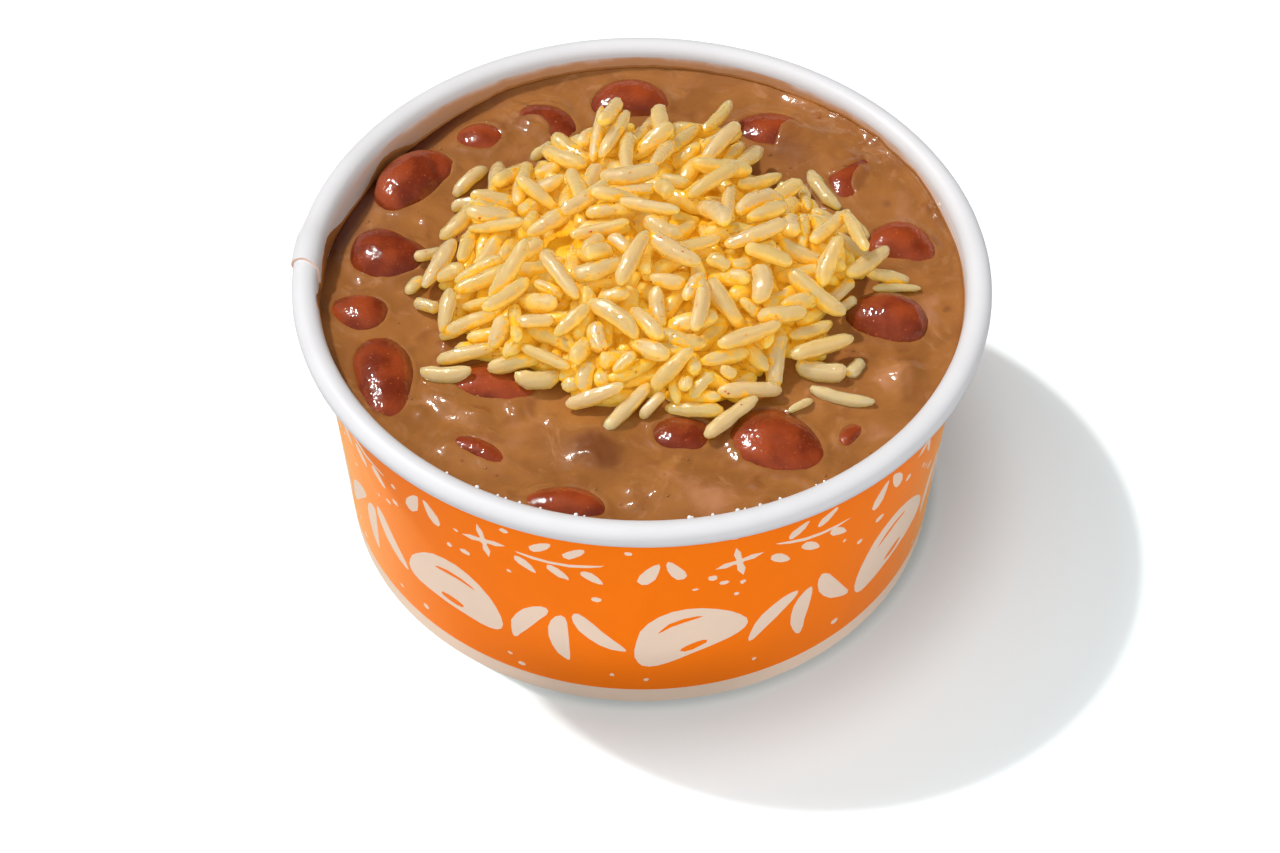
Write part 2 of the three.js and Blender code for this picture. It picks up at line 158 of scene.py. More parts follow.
centres = []
for period in range(PRINT_PERIODS):
    middle = (period + 0.5) * sheet_length / PRINT_PERIODS
    tilt = print_draws.between(-30, 30)
    if period % 2 == 0:
        low = LOW_ROW + 0.2
        stamp(bean_outline, 26, middle, low, tilt, 1.12)
        stamp(bean_eye, 10, middle, low, tilt, 1.12, eye=True)
        stamp(bean_shine, 10, middle, low, tilt, 1.0, eye=True)
        stamp(sparkle_outline, 24, middle + 6.6, HIGH_ROW + 0.1, 12, 1.25)
        stamp(leaf_outline, 10, middle - 5.4, HIGH_ROW - 0.5, 64, 1.1)
        stamp(leaf_outline, 10, middle - 2.0, HIGH_ROW + 0.1, 118, 1.0)
        centres += [(middle, low, 10), (middle + 6.6, HIGH_ROW + 0.1, 3.6)]
        centres.append((middle - 3.8, HIGH_ROW - 0.3, 4.4))
    else:
        for dx, dz, turn in ((-5.2, 1.0, 58), (-0.2, -1.0, 92), (5.0, 1.2, 130)):
            stamp(rice_outline, 16, middle + dx, LOW_ROW + dz, turn + tilt / 3, 1.25)
        stamp(stem_outline, 14, middle, HIGH_ROW, tilt / 2, 1.15)
        for leaf in range(5):
            side = 1 if leaf % 2 else -1
            stamp(leaf_outline, 10, middle - 4.8 + 2.3 * leaf, HIGH_ROW + 0.5 + 2.5 * side, 40 * side, 0.8)
        centres += [(middle, LOW_ROW, 9.0), (middle, HIGH_ROW + 0.5, 7.2)]
filled = len(centres)
while len(centres) < filled + DOTS:
    x = print_draws.between(1.5, sheet_length - 1.5)
    z = print_draws.between(CREAM_BAND + 1.5, DOTS_TOP)
    size = print_draws.between(0.5, 1.25)
    if all(math.hypot(x - cx, z - cz) > reach + 0.8 for cx, cz, reach in centres):
        stamp(dot_outline, 8, x, z, 0, size, print_draws.between(0.8, 1.7))
        centres.append((x, z, 1.1))

# The printed face is laid out flat, cut up along the shapes of the print and wrapped round the cone.
free_edge = roll_z + ROLL_RADIUS * math.sin(math.radians(FREE_EDGE_TURN))
levels = [0, CREAM_BAND, 9, 15, 21, 27, 33, free_edge]
across = (columns - columns[0]) * arc
flat = [Vector((x, z)) for z in levels for x in across] + [Vector(p) for p in print_points]
step = BOARD_COLUMNS + 1
held_edges = [
    (row * step + i, row * step + i + 1)
    for row in (0, 1, len(levels) - 1)
    for i in range(BOARD_COLUMNS)
]
held_edges += [
    (row * step + end, (row + 1) * step + end)
    for row in range(len(levels) - 1)
    for end in (0, BOARD_COLUMNS)
]
inked = [[i + step * len(levels) for i in face] for face in print_faces]
trimmed = geometry.delaunay_2d_cdt(flat, held_edges, inked, 0, 1e-5, True)
cut, cut_faces, within = np.array(trimmed[0]), trimmed[2], trimmed[5]

ORANGE, CREAM, WHITE, LINING, RAW = range(5)
angle = np.radians(columns[0] + cut[:, 0] / arc)
radius = wall_outer(cut[:, 1]) + LAP_RISE * lap_share((sheet_length - cut[:, 0]) / arc)
wall_points = [np.stack([radius * np.cos(angle), radius * np.sin(angle), cut[:, 1]], 1)]
wall_faces = []
wall_kinds = []
for face, holders in zip(cut_faces, within):
    wall_faces.append(list(face))
    in_band = np.mean([cut[i, 1] for i in face]) < CREAM_BAND
    on_stamp = holders and not eye_faces & set(holders)
    wall_kinds.append(CREAM if in_band or on_stamp else ORANGE)


def on_edge(column, value):
    """The cut sheet's points on one of its straight edges, in order along it."""
    found = [i for i in range(len(cut)) if abs(cut[i, column] - value) < 1e-3]
    return sorted(found, key=lambda i: cut[i, 1 - column])


def add_row(points):
    first = sum(len(block) for block in wall_points)
    wall_points.append(points)
    return list(range(first, first + len(points)))


def join_rows(low, high, kind):
    """Faces between two rows, with the narrow step where the sheet's ends lap."""
    for i in range(len(low) - 1):
        wall_faces.append([low[i], low[i + 1], high[i + 1], high[i]])
        wall_kinds.append(kind)
    wall_faces.append([low[-1], low[0], high[0], high[-1]])
    wall_kinds.append(RAW)


left, right = on_edge(0, 0.0), on_edge(0, sheet_length)
for i in range(len(levels) - 1):
    wall_faces.append([right[i], left[i], left[i + 1], right[i + 1]])
    wall_kinds.append(RAW)
row = on_edge(1, free_edge)
for turn in np.linspace(CURL_START, CURL_END, CURL_ROWS):
    inner = np.clip((turn - 110) / 68, 0, 1)
    rise = LAP_RISE + (LAP_RISE_INSIDE - LAP_RISE) * inner
    rho = ROLL_RADIUS + 0.1 * inner + lap * rise
    phi = math.radians(turn)
    lean = np.interp(turn, (CURL_START, 0, 90, 180), (0, 0.25, 0.45, 0.85))
    following = add_row(around(roll_r + rho * math.cos(phi), roll_z + rho * math.sin(phi), lean))
    join_rows(row, following, WHITE)
    row = following
for z in LINING_LEVELS:
    following = add_row(around(wall_outer(z) - BOARD - LAP_RISE_INSIDE * lap, z, 1.0))
    join_rows(row, following, LINING)
    row = following
for inset, z in ((HEM_THICKNESS - 0.3, HEM_HEIGHT), (HEM_THICKNESS, 0.0)):
    following = add_row(around(FOOT_RADIUS - inset, z, 0.0))
    join_rows(row, following, WHITE)
    row = following
join_rows(row, on_edge(1, 0.0), WHITE)


BLACK = (0, 0, 0, 1)


def paint(red, green, blue):
    """A colour as it looks, 0 to 255 a channel, given as the linear values that a shader takes."""
    shares = [value / 255 for value in (red, green, blue)]
    return (*[s / 12.92 if s <= 0.04 else ((s + 0.055) / 1.055) ** 2.4 for s in shares], 1.0)


def node(tree, kind, sockets=(), **settings):
    """A node with its settings, and its sockets set to constants or linked, by name or number."""
    made = tree.nodes.new(kind)
    for key, value in settings.items():
        setattr(made, key, value)
    for key, value in dict(sockets).items():
        if isinstance(value, bpy.types.NodeSocket):
            tree.links.new(value, made.inputs[key])
        else:
            made.inputs[key].default_value = value
    return made


def finish(name, colour, **sockets):
    """A material on the Principled shader, with constants on the shader's own sockets."""
    material = bpy.data.materials.new(name)
    material.use_nodes = True
    shader = material.node_tree.nodes["Principled BSDF"]
    shader.inputs["Base Color"].default_value = colour
    for key, value in sockets.items():
        shader.inputs[key.replace("_", " ")].default_value = value
    return material, material.node_tree, shader


def place_of(tree, given="Object"):
    """The point on the piece, in metres."""
    return node(tree, "ShaderNodeTexCoord").outputs[given]


def grain_of(tree, per_mm, detail=3.0, rough=0.55, warp=0.0, at=None):
    """Noise from 0 to 1, with so many features to a millimetre."""
    sockets = {"Scale": per_mm / MM, "Detail": detail, "Roughness": rough, "Distortion": warp}
    sockets["Vector"] = at or place_of(tree)
    return node(tree, "ShaderNodeTexNoise", sockets).outputs["Fac"]


def between(tree, value, low, high, start=0.0, end=1.0):
    """Runs smoothly from start to end as a value goes from low to high."""
    sockets = {"Value": value, "From Min": low, "From Max": high, "To Min": start, "To Max": end}
    return node(tree, "ShaderNodeMapRange", sockets, interpolation_type="SMOOTHSTEP").outputs["Result"]


def maths(tree, operation, first, second):
    return node(tree, "ShaderNodeMath", {0: first, 1: second}, operation=operation).outputs[0]


def mix(tree, share, first, second):
    """One colour fading into another."""
    return node(tree, "ShaderNodeMix", {0: share, 6: first, 7: second}, data_type="RGBA").outputs[2]


def relief(tree, shader, height, depth, under=None, of=("Normal", "Coat Normal")):
    """Bump of a depth in millimetres from a height of 0 to 1, in the surface and in the coat on it."""
    sockets = {"Height": height, "Distance": depth * MM, "Strength": 1.0}
    if under:
        sockets["Normal"] = under
    bump = node(tree, "ShaderNodeBump", sockets).outputs["Normal"]
    for layer in of:
        tree.links.new(bump, shader.inputs[layer])
    return bump


def board_finish(name, colour, roughness, shine, sheen=0.0):
    """Paper fibres under a thin satin coat, with painted shade along the foot where the lamp doesn't reach.
    """
    made, tree, shader = finish(
        name, colour, Roughness=roughness, Specular_IOR_Level=shine, Sheen_Weight=sheen, Sheen_Roughness=0.3,
        Sheen_Tint=(0.9, 1.0, 0.45, 1),
    )
    mottle = between(tree, grain_of(tree, 0.09, 2.0), 0.3, 0.7, 0.965, 1.0)
    at = node(tree, "ShaderNodeSeparateXYZ", {0: place_of(tree)})
    # Painted shade: the foot is darkened most at the front, less to the left and less again to the right.
    from_left = between(tree, at.outputs["X"], -0.03, -0.008, 0.0, 0.34)
    to_right = between(tree, at.outputs["X"], 0.005, 0.028, 1.0, 0.2)
    foot = between(tree, at.outputs["Z"], 0.016, 0.002)
    painted_foot_shade = maths(tree, "MULTIPLY", foot, maths(tree, "MULTIPLY", from_left, to_right))
    mottle_and_shade = maths(tree, "MULTIPLY", mottle, maths(tree, "SUBTRACT", 1.0, painted_foot_shade))
    tree.links.new(mix(tree, mottle_and_shade, BLACK, colour), shader.inputs["Base Color"])
    relief(tree, shader, grain_of(tree, 1.6, 4.0, 0.6), 0.02)
    return made


def lining_finish():
    """The coated inside, browned towards the back: partly gravy grease, partly painted shade and gravy
    light.
    """
    white = paint(222, 221, 222)
    made, tree, shader = finish("board_lining", white, Roughness=0.32, Coat_Weight=0.4, Coat_Roughness=0.12)
    at = node(tree, "ShaderNodeSeparateXYZ", {0: place_of(tree)})
    streaks = between(tree, grain_of(tree, 0.16, 4.0), 0.3, 0.7, -0.0004, 0.0004)
    low = between(tree, maths(tree, "ADD", at.outputs["Z"], streaks), 0.0431, 0.0412)
    far_side = between(tree, at.outputs["Y"], 0.005, 0.04, 0.15, 1.0)
    # Partly a real streaky stain, partly painted shade and brown light thrown up from the gravy onto the
    # back wall.
    grease_and_shade = maths(tree, "MULTIPLY", low, far_side)
    tree.links.new(mix(tree, grease_and_shade, white, paint(190, 140, 100)), shader.inputs["Base Color"])
    relief(tree, shader, grain_of(tree, 1.2, 3.0), 0.02)
    return made


def put(name, mesh):
    """An object for a mesh, a lamp or a lens, in the scene."""
    made = bpy.data.objects.new(name, mesh)
    bpy.context.scene.collection.objects.link(made)
    return made


def mark(mesh, name, values, kind="FLOAT"):
    """Gives every point of a mesh a value of its own."""
    holder = mesh.attributes.new(name, kind, "POINT").data
    holder.foreach_set("vector" if kind == "FLOAT_VECTOR" else "value", np.asarray(values).ravel())


def build(name, points, faces, materials, kinds=None, crease=38, marks=()):
    """A closed piece from points in millimetres: doubles merged, faces turned outwards, creases kept."""
    mesh = bpy.data.meshes.new(name)
    mesh.from_pydata((np.asarray(points) * MM).tolist(), [], faces)
    for material in materials:
        mesh.materials.append(material)
    if kinds is not None:
        mesh.polygons.foreach_set("material_index", kinds)
    for label, values in dict(marks).items():
        mark(mesh, label, values)
    work = bmesh.new()
    work.from_mesh(mesh)
    bmesh.ops.remove_doubles(work, verts=work.verts, dist=0.002 * MM)
    bmesh.ops.dissolve_degenerate(work, edges=work.edges, dist=0.001 * MM)
    bmesh.ops.recalc_face_normals(work, faces=work.faces)
    work.to_mesh(mesh)
    work.free()
    mesh.shade_smooth()
    mesh.set_sharp_from_angle(angle=math.radians(crease))
    return put(name, mesh)


white_board = board_finish("bare_board", paint(200, 199, 201), 0.42, 0.22)
printed = [
    board_finish("orange_ink", paint(244, 116, 0), 0.4, 0.04, 0.45),
    board_finish("cream_ink", paint(232, 206, 184), 0.45, 0.2),
    white_board,
    lining_finish(),
    board_finish("cut_edge", paint(216, 180, 160), 0.8, 0.1),
]
side_wall = build("side_wall", np.concatenate(wall_points), wall_faces, printed, wall_kinds)
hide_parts("bowl_wall")
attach(side_wall, "root")

# ------------------------------------------------------------------------------ bottom disc
# A round of the same board, cut from the flat and held all round its edge by the folded foot of the
# wall. It sits well above the table, so the bowl stands on the folded foot alone.
DISC_LOW = HEM_HEIGHT + 0.3
DISC_HIGH = DISC_LOW + 0.6
DISC_STEPS = 120
PRESSED_RING = 34.0
PRESSED_DEPTH = 0.12
EDGE_ROUND = 0.2
disc_edge = wall_outer(DISC_LOW) - BOARD - 0.05


def ring_faces(rows, steps):
    """Faces between closed rows of points, each of so many steps, with the first and last row filled in."""
    faces = [
        [k * steps + i, k * steps + (i + 1) % steps, (k + 1) * steps + (i + 1) % steps, (k + 1) * steps + i]
        for k in range(rows - 1)
        for i in range(steps)
    ]
    return faces + [list(range(steps)), list(range((rows - 1) * steps, rows * steps))]


disc_profile = [(r, DISC_LOW + PRESSED_DEPTH) for r in (0.01, *np.linspace(4, PRESSED_RING - 2, 5))]
disc_profile += [(PRESSED_RING - 0.8, DISC_LOW + 0.1), (PRESSED_RING, DISC_LOW + 0.02)]
disc_profile += [(r, DISC_LOW) for r in (PRESSED_RING + 0.8, 38.0, disc_edge - EDGE_ROUND)]
disc_profile += [(disc_edge, DISC_LOW + PRESSED_DEPTH), (disc_edge, DISC_HIGH - PRESSED_DEPTH)]
disc_profile += [(r, DISC_HIGH) for r in (disc_edge - EDGE_ROUND, 30, 0.01)]
turns = np.linspace(0, 2 * math.pi, DISC_STEPS, endpoint=False)
disc_points = [(r * math.cos(t), r * math.sin(t), z) for r, z in disc_profile for t in turns]
bottom_disc = build("bottom_disc", disc_points, ring_faces(len(disc_profile), DISC_STEPS), [white_board])
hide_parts("bowl_bottom")
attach(bottom_disc, "root")

# ------------------------------------------------------------------------------ red beans
# Whole kidney beans, boiled until their skins are taut and finely grained, with a shallow eye on the
# hollow side. They float half sunk, and each is worked up from its plain solid.
BEAN_GROWTH = 1.045
BEAN_LEVELS = 3
EYE_LONG = 1.7
EYE_WIDE = 0.7
EYE_DEPTH = 0.12
DENT_DEPTH = 0.12
WRINKLE_DEPTH = 0.08
# Beans with a folded or sunken skin: name, share of the way along, side (1 is the bulging one), width
# of the fold in millimetres, depth, and the fold's heading to the bean's length in degrees.
FOLDS = [
    ("bean_01", 0.45, -0.5, 1.7, 0.55, 60),
    ("bean_16", 0.35, -0.75, 2.2, 0.7, 35),
    ("bean_07", 0.5, -0.1, 1.2, 0.35, 60),
    ("bean_14", 0.2, 0.3, 1.4, 0.3, 15),
    ("bean_12", 0.5, 0.5, 1.2, 0.3, 25),
    ("bean_09", -0.1, -0.35, 2.6, 0.35, 20),
]


def value_on(tree, name):
    """A value that the piece's points carry."""
    return node(tree, "ShaderNodeAttribute", attribute_name=name).outputs["Fac"]


def bean_finish():
    """A thin red-brown skin over a paler inside, glossy with gravy and grainy to the touch."""
    made, tree, shader = finish(
        "bean_skin", paint(122, 42, 14), Roughness=0.4, Specular_IOR_Level=0.1, Coat_Weight=1.0,
        Coat_Roughness=0.08, Subsurface_Weight=0.1, Subsurface_Radius=(1.0, 0.35, 0.2),
        Subsurface_Scale=1.2 * MM,
    )
    blotch = between(tree, grain_of(tree, 0.22, 4.0, 0.6, 0.4), 0.36, 0.66)
    deep = mix(tree, blotch, paint(104, 35, 12), paint(130, 51, 22))
    lit = mix(tree, between(tree, value_on(tree, "tone"), 0.0, 1.0), deep, paint(144, 60, 24))
    fleck = between(tree, grain_of(tree, 2.4, 2.0, 0.5), 0.66, 0.74)
    tree.links.new(mix(tree, fleck, lit, paint(164, 84, 40)), shader.inputs["Base Color"])
    skin = relief(tree, shader, grain_of(tree, 1.8, 2.0, 0.5), 0.05)
    skin = relief(tree, shader, grain_of(tree, 0.5, 2.0, 0.5, 0.6), 0.12, skin)
    relief(tree, shader, grain_of(tree, 1.4, 1.0, 0.5), 0.13, skin, ["Coat Normal"])
    return made


def points_of(mesh):
    """A mesh's points in millimetres."""
    return np.array([v.co for v in mesh.vertices]) / MM


def as_mesh(piece):
    """A plain mesh of a piece with its modifiers worked in."""
    return bpy.data.meshes.new_from_object(piece.evaluated_get(bpy.context.evaluated_depsgraph_get()))


def turned_by(heading, along, side):
    """Steps along and across, measured again along and across a heading in degrees."""
    cos, sin = math.cos(math.radians(heading)), math.sin(math.radians(heading))
    return along * cos + side * sin, side * cos - along * sin


def own_frame(points):
    """A bean's middle, its direction ahead, its bulging side, and half its length, width and thickness."""
    middle = (points.min(0) + points.max(0)) / 2
    apart = np.linalg.norm(points[:, None, :2] - points[None, :, :2], axis=2)
    one, two = np.unravel_index(np.argmax(apart), apart.shape)
    ahead = (points[two, :2] - points[one, :2]) / apart[one, two]
    side = np.array([-ahead[1], ahead[0]])
    middle[:2] = (points[one, :2] + points[two, :2]) / 2
    off = points[:, :2] - middle[:2]
    across = off @ side
    half = np.array([apart[one, two], np.ptp(across), np.ptp(points[:, 2])]) / 2
    middle[:2] += side * (across.max() + across.min()) / 2
    bulge = side if across.max() + across.min() > 0 else -side
    return middle, ahead, bulge, half


bean_skin = bean_finish()
bean_forms = {}
bean_points = []
bean_faces = []
for number, name in enumerate(sorted(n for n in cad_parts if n.startswith("bean_"))):
    bean = put("red_" + name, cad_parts[name].data.copy())
    bean.data.materials.clear()
    bean.data.materials.append(bean_skin)
    work = bmesh.new()
    work.from_mesh(bean.data)
    bmesh.ops.remove_doubles(work, verts=work.verts, dist=0.001 * MM)
    bmesh.ops.join_triangles(
        work, faces=work.faces, angle_face_threshold=math.radians(70), angle_shape_threshold=math.radians(80)
    )
    work.to_mesh(bean.data)
    work.free()
    bean_forms[name] = middle, ahead, bulge, half = own_frame(points_of(bean.data))
    smooth = bean.modifiers.new("round", "SUBSURF")
    smooth.levels = BEAN_LEVELS
    smooth.render_levels = BEAN_LEVELS
    mesh = as_mesh(bean)
    bean.modifiers.clear()
    bean.data = mesh
    at = middle + (points_of(mesh) - middle) * BEAN_GROWTH
    normal = np.array([v.normal for v in mesh.vertices])
    off = at - middle
    along, outward = off[:, :2] @ ahead, off[:, :2] @ bulge
    seed = Vector((number * 7.3, number * 3.1, 0))
    dents = np.array([noise.noise(Vector(p) * 0.3 + seed) for p in off])
    creased = [Vector((a * 0.35, o * 1.1, up * 1.1)) for a, o, up in zip(along, outward, off[:, 2])]
    wrinkles = np.array([1 - abs(noise.noise(p + seed)) for p in creased])
    from_eye = (off[:, 2] - half[2] * 0.5) ** 2 + (outward + half[1] * 0.86) ** 2
    eye = np.exp(-((along / EYE_LONG) ** 2) - from_eye / EYE_WIDE ** 2)
    push = dents * DENT_DEPTH + (wrinkles - 0.8) * WRINKLE_DEPTH - eye * EYE_DEPTH
    for folded, share, side, wide, deep, heading in FOLDS:
        if folded == name:
            run, gap = turned_by(heading, along - share * half[0], outward - side * half[1])
            push -= deep * np.exp(-((run / (wide * 1.8)) ** 2) - (gap / (wide * 0.6)) ** 2)
    at += normal * push[:, None]
    mesh.vertices.foreach_set("co", (at * MM).ravel())
    mark(mesh, "tone", np.clip(0.35 + 0.9 * dents + 0.3 * math.sin(number * 2.4), 0, 1))
    mesh.shade_smooth()
    mesh.update()
    first = len(bean_points)
    bean_points.extend(at.tolist())
    bean_faces.extend([[first + i for i in face.vertices] for face in mesh.polygons])
    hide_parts(name)
    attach(bean, "root")
bean_surface = BVHTree.FromPolygons(bean_points, bean_faces)

# ------------------------------------------------------------------------------ rice
# A scoop of cooked long grain rice: firm separate grains, coated with an orange-yellow seasoning that
# collects where they touch. The grains are dropped at random and pushed apart until they lie on
# each other, inside a round outline with ragged lobes.
LEVEL = 39.5
HEAP_MIDDLE = np.array([1.5, 2.0])
FILL_HEIGHT = 9.6
HEAP_REACH = 30.0
HEAP_HEIGHT = 11.5
DOME_POWER = 0.8
LOBES = [
    (16, 1, 8), (50, -4.5, 8), (72, 5, 6), (101, 3, 8), (115, -1.5, 5), (130, -2, 7), (147, 2.3, 9),
    (187, 4, 12), (213, 6.5, 7), (236, -3.5, 9), (259, 1.3, 5), (271, -4.5, 5), (286, 2.5, 7),
    (312, -3.5, 7), (330, 3, 6), (344, -2.6, 6), (357, 6, 7),
]
GRAINS = 430
GRAIN_SEED = 11
GRAIN_LENGTH = (6.8, 9.8)
BROKEN_LENGTH = (4.2, 6.2)
BROKEN_SHARE = 0.12
GRAIN_RADIUS = (1.15, 1.5)
SQUEEZE = 0.86
SETTLE_STEPS = 240
SINK_SHARE = 0.8
SINK_STEP = 0.1
REST_SHARE = 0.75
SHARED_PUSH = 0.75
SIDE_PUSH = 0.75
COME_BACK = 0.5
# How grains are thrown in: the chance of one at the heap's very edge, their lowest height over the
# gravy, how much higher than the heap they reach, how far they follow its slope, and how they tumble.
EDGE_CHANCE = 0.22
LOWEST = 1.3
THROWN_HIGHER = 1.25
FOLLOW = 1.2
TUMBLE = 0.3
WILD_TUMBLE = 0.25
# How steeply a grain underneath may stand.
STEEPEST = 0.45
# How far inside the outline the middles and the ends of the grains underneath stay.
MIDDLE_INSET = 6.0
END_INSET = 3.2

# The camera, which the topmost grains are laid out by: what it looks at, how far off it stands, how
# steeply it looks down, its roll, and its lens in pixels of a frame of 1280 by 853.
FRAME = (1280, 853)
FOCAL_PIXELS = 3182.0
LOOK_AT = np.array([-0.089, 8.83, 0.0])
DISTANCE = 483.66
PITCH = math.radians(48.43)
ROLL = math.radians(0.559)
stand = LOOK_AT + DISTANCE * np.array([0, -math.cos(PITCH), math.sin(PITCH)])
view = (LOOK_AT - stand) / DISTANCE
view_up = np.cross((1.0, 0.0, 0.0), view)
PIXELS_PER_MM = 7.07
LONGEST_SHOWN = 9.6
# The topmost grains, lowest in the heap first: the two ends of each in that frame, left and down, the
# nearer end first, and its width there.
SHOWN_GRAINS = [
    (788, 411, 815, 399, 10), (809, 390, 875, 404, 13), (848, 376, 864, 358, 14), (720, 368, 738, 376, 13),
    (640, 418, 668, 388, 14), (690, 397, 716, 370, 14), (664, 408, 724, 411, 17), (420, 374, 472, 372, 17),
    (414, 302, 443, 310, 16), (406, 293, 425, 276, 15), (414, 257, 445, 251, 15), (451, 208, 482, 200, 14),
    (454, 194, 487, 167, 17), (531, 159, 556, 142, 14), (561, 149, 589, 138, 14), (704, 131, 731, 103, 14),
    (722, 166, 743, 143, 14), (808, 209, 802, 185, 12), (836, 213, 868, 239, 18), (862, 271, 909, 281, 14),
    (872, 288, 921, 288, 10), (838, 311, 859, 296, 13), (795, 367, 847, 374, 22), (487, 368, 542, 358, 18),
    (717, 391, 783, 390, 18), (700, 362, 749, 352, 16), (670, 150, 700, 126, 16), (634, 143, 653, 120, 15),
    (517, 205, 527, 163, 18), (493, 200, 499, 163, 17), (460, 262, 478, 226, 16), (439, 337, 495, 313, 18),
    (463, 308, 510, 296, 14), (527, 328, 580, 350, 18), (585, 213, 632, 208, 14), (583, 254, 606, 234, 15),
    (609, 236, 632, 254, 15), (649, 278, 690, 284, 16), (684, 300, 704, 272, 18), (749, 252, 780, 244, 16),
    (620, 202, 680, 212, 16), (610, 193, 658, 188, 14), (534, 282, 566, 298, 17), (516, 322, 560, 320, 16),
    (492, 300, 528, 240, 18), (741, 298, 762, 318, 15), (731, 268, 751, 260, 17), (790, 337, 833, 323, 15),
    (598, 299, 633, 291, 18), (652, 167, 672, 143, 15), (757, 318, 807, 312, 20), (763, 308, 798, 287, 15),
    (514, 379, 562, 377, 18), (583, 393, 590, 357, 18), (613, 372, 638, 351, 16), (522, 347, 571, 368, 15),
    (593, 162, 602, 106, 14), (436, 361, 498, 346, 18), (443, 333, 452, 289, 18), (424, 288, 455, 240, 18),
    (442, 240, 480, 201, 18), (437, 279, 467, 266, 18), (455, 283, 503, 258, 18), (470, 231, 525, 222, 14),
    (493, 349, 506, 313, 20), (555, 336, 589, 306, 16), (571, 277, 624, 262, 22), (644, 219, 682, 237, 18),
    (627, 174, 629, 133, 16), (657, 184, 672, 198, 18), (661, 177, 690, 184, 14), (688, 196, 738, 165, 18),
    (733, 170, 761, 149, 16), (738, 186, 780, 177, 16), (728, 223, 731, 185, 15), (736, 210, 782, 197, 19),
    (808, 171, 838, 209, 17), (811, 211, 839, 225, 17), (782, 181, 806, 243, 20), (779, 242, 825, 265, 18),
    (832, 234, 869, 259, 16), (786, 271, 844, 316, 20), (846, 276, 888, 249, 17), (827, 304, 857, 276, 16),
    (707, 257, 733, 270, 15), (670, 250, 721, 238, 14), (648, 236, 700, 265, 19), (618, 285, 648, 231, 19),
    (695, 332, 704, 280, 17), (709, 278, 742, 328, 20), (760, 303, 760, 266, 22), (724, 246, 788, 222, 19),
    (600, 180, 660, 171, 20), (600, 160, 628, 113, 17), (702, 163, 739, 123, 19), (527, 235, 572, 208, 16),
    (562, 214, 608, 185, 18), (570, 236, 630, 222, 16), (542, 252, 578, 299, 19), (517, 262, 545, 238, 16),
    (589, 300, 640, 336, 19), (655, 288, 661, 329, 19), (594, 322, 603, 356, 19), (654, 333, 706, 346, 18),
    (566, 406, 624, 385, 17), (604, 431, 650, 384, 18), (652, 389, 692, 348, 19), (704, 437, 757, 397, 17),
    (773, 388, 780, 333, 20), (717, 346, 781, 324, 18), (789, 356, 853, 338, 20),
]


def swell(degrees, direction, width):
    """1 in a direction, fading to nothing on either side of it."""
    return np.exp(-((((degrees - direction + 180) % 360 - 180) / width) ** 2))


def heap_outline(angle):
    """How far the heap reaches from its middle in a direction, in radians."""
    reach = np.full(np.shape(angle), HEAP_REACH)
    for direction, extra, width in LOBES:
        reach = reach + extra * swell(np.degrees(angle), direction, width)
    return reach


def bean_tops(x, y):
    """Height of the beans' tops over points, or nothing where there is no bean."""
    top = np.full(len(x), -np.inf)
    for middle, ahead, bulge, half in bean_forms.values():
        off = np.stack([x - middle[0], y - middle[1]], 1)
        inside = 1 - (off @ ahead / half[0]) ** 2 - (off @ bulge / half[1]) ** 2
        height = middle[2] + half[2] * np.sqrt(np.maximum(inside, 0))
        top = np.where(inside > 0, np.maximum(top, height), top)
    return top


def loose_grains():
    """Grains thrown into the shape of the heap: both ends of each middle line, and each radius."""
    draws = Draws(GRAIN_SEED)
    starts, ends, radii, broken = [], [], [], []
    while len(radii) < GRAINS:
        angle = draws.between(0, 2 * math.pi)
        share = math.sqrt(draws.between(0, 1))
        lift = draws.between(0, 1)
        dome = (1 - share * share) ** DOME_POWER
        if draws.between(0, 1) > dome + EDGE_CHANCE:
            continue
        reach = float(heap_outline(angle))
        height = LEVEL + LOWEST + lift * dome * FILL_HEIGHT * THROWN_HIGHER
        across = HEAP_MIDDLE + share * reach * np.array([math.cos(angle), math.sin(angle)])
        middle = np.array([*across, height])
        short = draws.between(0, 1) < BROKEN_SHARE
        length = draws.between(*(BROKEN_LENGTH if short else GRAIN_LENGTH))
        radius = draws.between(*GRAIN_RADIUS)
        heading = draws.between(0, 2 * math.pi)
        fall = math.atan(-share * HEAP_HEIGHT / reach * math.cos(heading - angle) * FOLLOW)
        pitch = fall + draws.between(-1, 1) * TUMBLE + draws.between(-1, 1) ** 3 * WILD_TUMBLE
        ahead = [math.cos(heading) * math.cos(pitch), math.sin(heading) * math.cos(pitch), math.sin(pitch)]
        half = np.array(ahead) * (length / 2 - radius)
        starts.append(middle - half)
        ends.append(middle + half)
        radii.append(radius)
        broken.append(short)
    return np.array(starts), np.array(ends), np.array(radii), np.array(broken)


def closest(a, b, c, d):
    """Where lines a-b and c-d come closest: the share along each, and the way from one to the other."""
    one, two, apart = b - a, d - c, a - c
    len_one, len_two = (one * one).sum(1), (two * two).sum(1)
    cross, off_two, off_one = (one * two).sum(1), (two * apart).sum(1), (one * apart).sum(1)
    spread = len_one * len_two - cross * cross
    s = np.where(spread > 1e-9, (cross * off_two - off_one * len_two) / np.maximum(spread, 1e-9), 0.5)
    s = np.clip(s, 0, 1)
    t = (cross * s + off_two) / len_two
    s = np.where(t < 0, np.clip(-off_one / len_one, 0, 1), s)
    s = np.where(t > 1, np.clip((cross - off_one) / len_one, 0, 1), s)
    t = np.clip(t, 0, 1)
    return s, t, a + one * s[:, None] - c - two * t[:, None]


def past_outline(points, slack):
    """How far each point has to come back in to lie inside the heap's outline, give or take a slack."""
    off = points[:, :2] - HEAP_MIDDLE
    away = np.hypot(off[:, 0], off[:, 1])
    past = np.maximum(away - heap_outline(np.arctan2(off[:, 1], off[:, 0])) - slack, 0)
    return off * (past * COME_BACK / away)[:, None]


